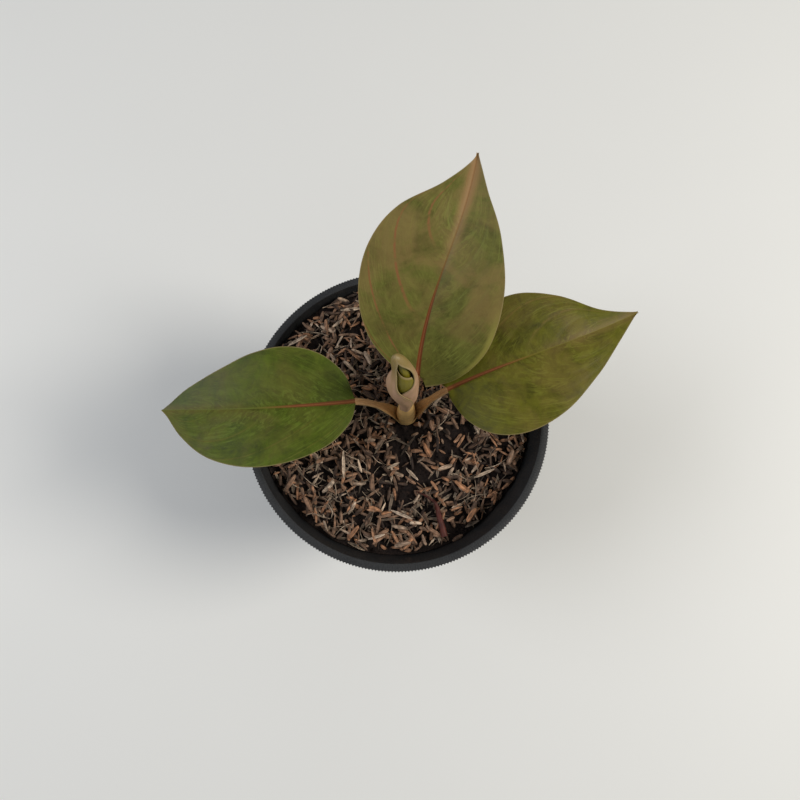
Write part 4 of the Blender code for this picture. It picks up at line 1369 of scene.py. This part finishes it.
class OBJECT_OT_evergreen_new_leaf(bpy.types.Operator):
    """Roll the new leaf, with the next one inside it and its sheath below"""
    bl_idname = "object.evergreen_new_leaf"
    bl_label = "New Leaf"

    def execute(self, context):
        plant = context.scene.evergreen_plant
        olive = tint(plant.bud_outside, 0.22, plant.bud_inside, 0.68)
        cream = bud_skin("new_leaf_outer_skin", plant.bud_outside, olive, plant.margin, 22.0)
        green = bud_skin("new_leaf_inner_skin", plant.bud_inside, tint(plant.bud_inside, 0.6),
                         plant.margin, 30.0)

        def bud_marks(row, column):
            share = row / BUD_ROWS
            radius = bud_radius(share)
            mouth = math.radians(follow(BUD_MOUTH, share))
            near = min(column, BUD_COLUMNS - column) / BUD_COLUMNS * (2 * math.pi - 2 * mouth) * radius
            return {"along": share, "from_edge": min(near, (1 - share) * 60 * MM)}

        roll = laid_grid("new_leaf_roll", BUD_ROWS, BUD_COLUMNS, bud_point, bud_marks)
        edit(roll, (bpy.ops.mesh.normals_make_consistent, {"inside": False}))
        self.face_out(roll)
        roll.data.materials.append(cream)
        roll.data.materials.append(green)
        modify(roll, "SOLIDIFY", thickness=BUD_SHELL, offset=-1.0, material_offset=1,
               material_offset_rim=0)
        hand_over(roll, "new_leaf_cream", [], "new_leaf", angle=60)

        heart = laid_grid("next_leaf_heart", HEART_ROWS, HEART_COLUMNS, heart_point,
                          lambda row, column: {"along": 0.5 * row / HEART_ROWS,
                                               "from_edge": (HEART_ROWS - row) * 0.6 * MM})
        modify(heart, "SOLIDIFY", thickness=HEART_SHELL, offset=0.0)
        hand_over(heart, "new_leaf_cream", [green], angle=60)

        bottom = crown() + Vector((0, 0, STEM_ABOVE - 1 * MM))
        neck = crown() + NECK_TOP
        points = interpolate_bezier(bottom, bottom + Vector((0, 0, HANDLE)),
                                    neck - Vector((0, NECK_LEAN, HANDLE)), neck, NECK_ROWS + 1)
        radii = [follow(NECK_RADII, row / NECK_ROWS) * MM for row in range(NECK_ROWS + 1)]
        sheath = rod("new_leaf_sheath", points, radii, sides=28)
        for vertex in sheath.data.vertices:
            share = (vertex.co.z - bottom.z) / (neck.z - bottom.z)
            middle = follow(points, max(0.0, min(1.0, share)))
            vertex.co.x = middle.x + (vertex.co.x - middle.x) * follow(NECK_BREADTHS, min(1.0, share))
        skin = plain_flesh("sheath_skin", plant.sheath, tint(plant.sheath, 0.72), 4.167, 0.45)
        hand_over(sheath, "new_leaf_cream", [skin], angle=60)
        return {"FINISHED"}

    def face_out(self, roll):
        """Turns the open roll's faces away from its axis, so that its wall thickens inwards."""
        face = roll.data.polygons[len(roll.data.polygons) // 3]
        low, high = bud_axis(0.0).z, bud_axis(1.0).z
        share = (face.center.z - low) / (high - low)
        if face.normal.dot(face.center - bud_axis(share)) < 0:
            edit(roll, (bpy.ops.mesh.flip_normals, {}))


# Stage ----------------------------------------------------------------------------------------------

class OBJECT_OT_evergreen_stage(bpy.types.Operator):
    """Lay the pale floor, set the soft studio lights and the camera"""
    bl_idname = "object.evergreen_stage"
    bl_label = "Stage"

    def execute(self, context):
        stage = context.scene.evergreen_stage
        deselect()
        bpy.ops.mesh.primitive_plane_add(size=stage.floor_size)
        floor = context.active_object
        floor.name = "floor"
        floor.data.materials.append(floor_finish(stage))

        world = bpy.data.worlds.new("even_daylight")
        context.scene.world = world
        world.use_nodes = True
        feed(world.node_tree.nodes["Background"], {"Color": linear("EEF2F6"), "Strength": stage.sky})

        context.scene.view_settings.view_transform = "Standard"
        lights = (("key", (1.2, -0.02, 1.15), 0.7, stage.key_power, "FFFAF2"),
                  ("fill", (-1.1, 0.1, 1.1), 1.0, stage.key_power * 0.52, "F6F8FF"))
        for name, place, size, power, code in lights:
            lamp = bpy.data.lights.new(name, "AREA")
            lamp.shape = "DISK"
            lamp.size = size
            lamp.energy = power
            lamp.color = linear(code)
            item = bpy.data.objects.new(name, lamp)
            item.location = place
            item.rotation_euler = (Vector(place) - Vector((0, 0, 0.08))).to_track_quat("Z", "Y").to_euler()
            context.scene.collection.objects.link(item)

        lens = bpy.data.cameras.new("view")
        lens.lens = 27
        lens.sensor_width = 36
        lens.clip_start = 0.01
        camera = bpy.data.objects.new("view", lens)
        camera.location = (1.5 * MM, -51.9 * MM, 411 * MM)
        camera.rotation_euler = (math.radians(11.5), 0, 0)
        context.scene.collection.objects.link(camera)
        bpy.context.scene.camera = camera
        return {"FINISHED"}


OPERATORS = (OBJECT_OT_evergreen_pot, OBJECT_OT_evergreen_mix, OBJECT_OT_evergreen_litter,
             OBJECT_OT_evergreen_chips, OBJECT_OT_evergreen_stalk, OBJECT_OT_evergreen_stem,
             OBJECT_OT_evergreen_leaves, OBJECT_OT_evergreen_new_leaf, OBJECT_OT_evergreen_stage)
SETTINGS = {"evergreen_pot": PotSettings, "evergreen_mix": MixSettings,
            "evergreen_plant": PlantSettings, "evergreen_stage": StageSettings}


class VIEW3D_PT_evergreen(bpy.types.Panel):
    """Sizes and colours of the potted evergreen, and a button for each group of pieces"""
    bl_idname = "VIEW3D_PT_evergreen"
    bl_label = "Potted Chinese Evergreen"
    bl_space_type = "VIEW_3D"
    bl_region_type = "UI"
    bl_category = "Evergreen"

    def draw(self, context):
        for operator in OPERATORS:
            self.layout.operator(operator.bl_idname)
        for key, group in SETTINGS.items():
            box = self.layout.box()
            for name in group.__annotations__:
                box.prop(getattr(context.scene, key), name)


def register():
    for group in (*SETTINGS.values(), *OPERATORS, VIEW3D_PT_evergreen):
        bpy.utils.register_class(group)
    for key, group in SETTINGS.items():
        setattr(bpy.types.Scene, key, bpy.props.PointerProperty(type=group))


def unregister():
    for key in SETTINGS:
        delattr(bpy.types.Scene, key)
    for group in (VIEW3D_PT_evergreen, *reversed(OPERATORS), *SETTINGS.values()):
        bpy.utils.unregister_class(group)


def main():
    register()
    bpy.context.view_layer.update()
    for operator in OPERATORS:
        space, name = operator.bl_idname.split(".")
        getattr(getattr(bpy.ops, space), name)()


if __name__ == "__main__":
    main()
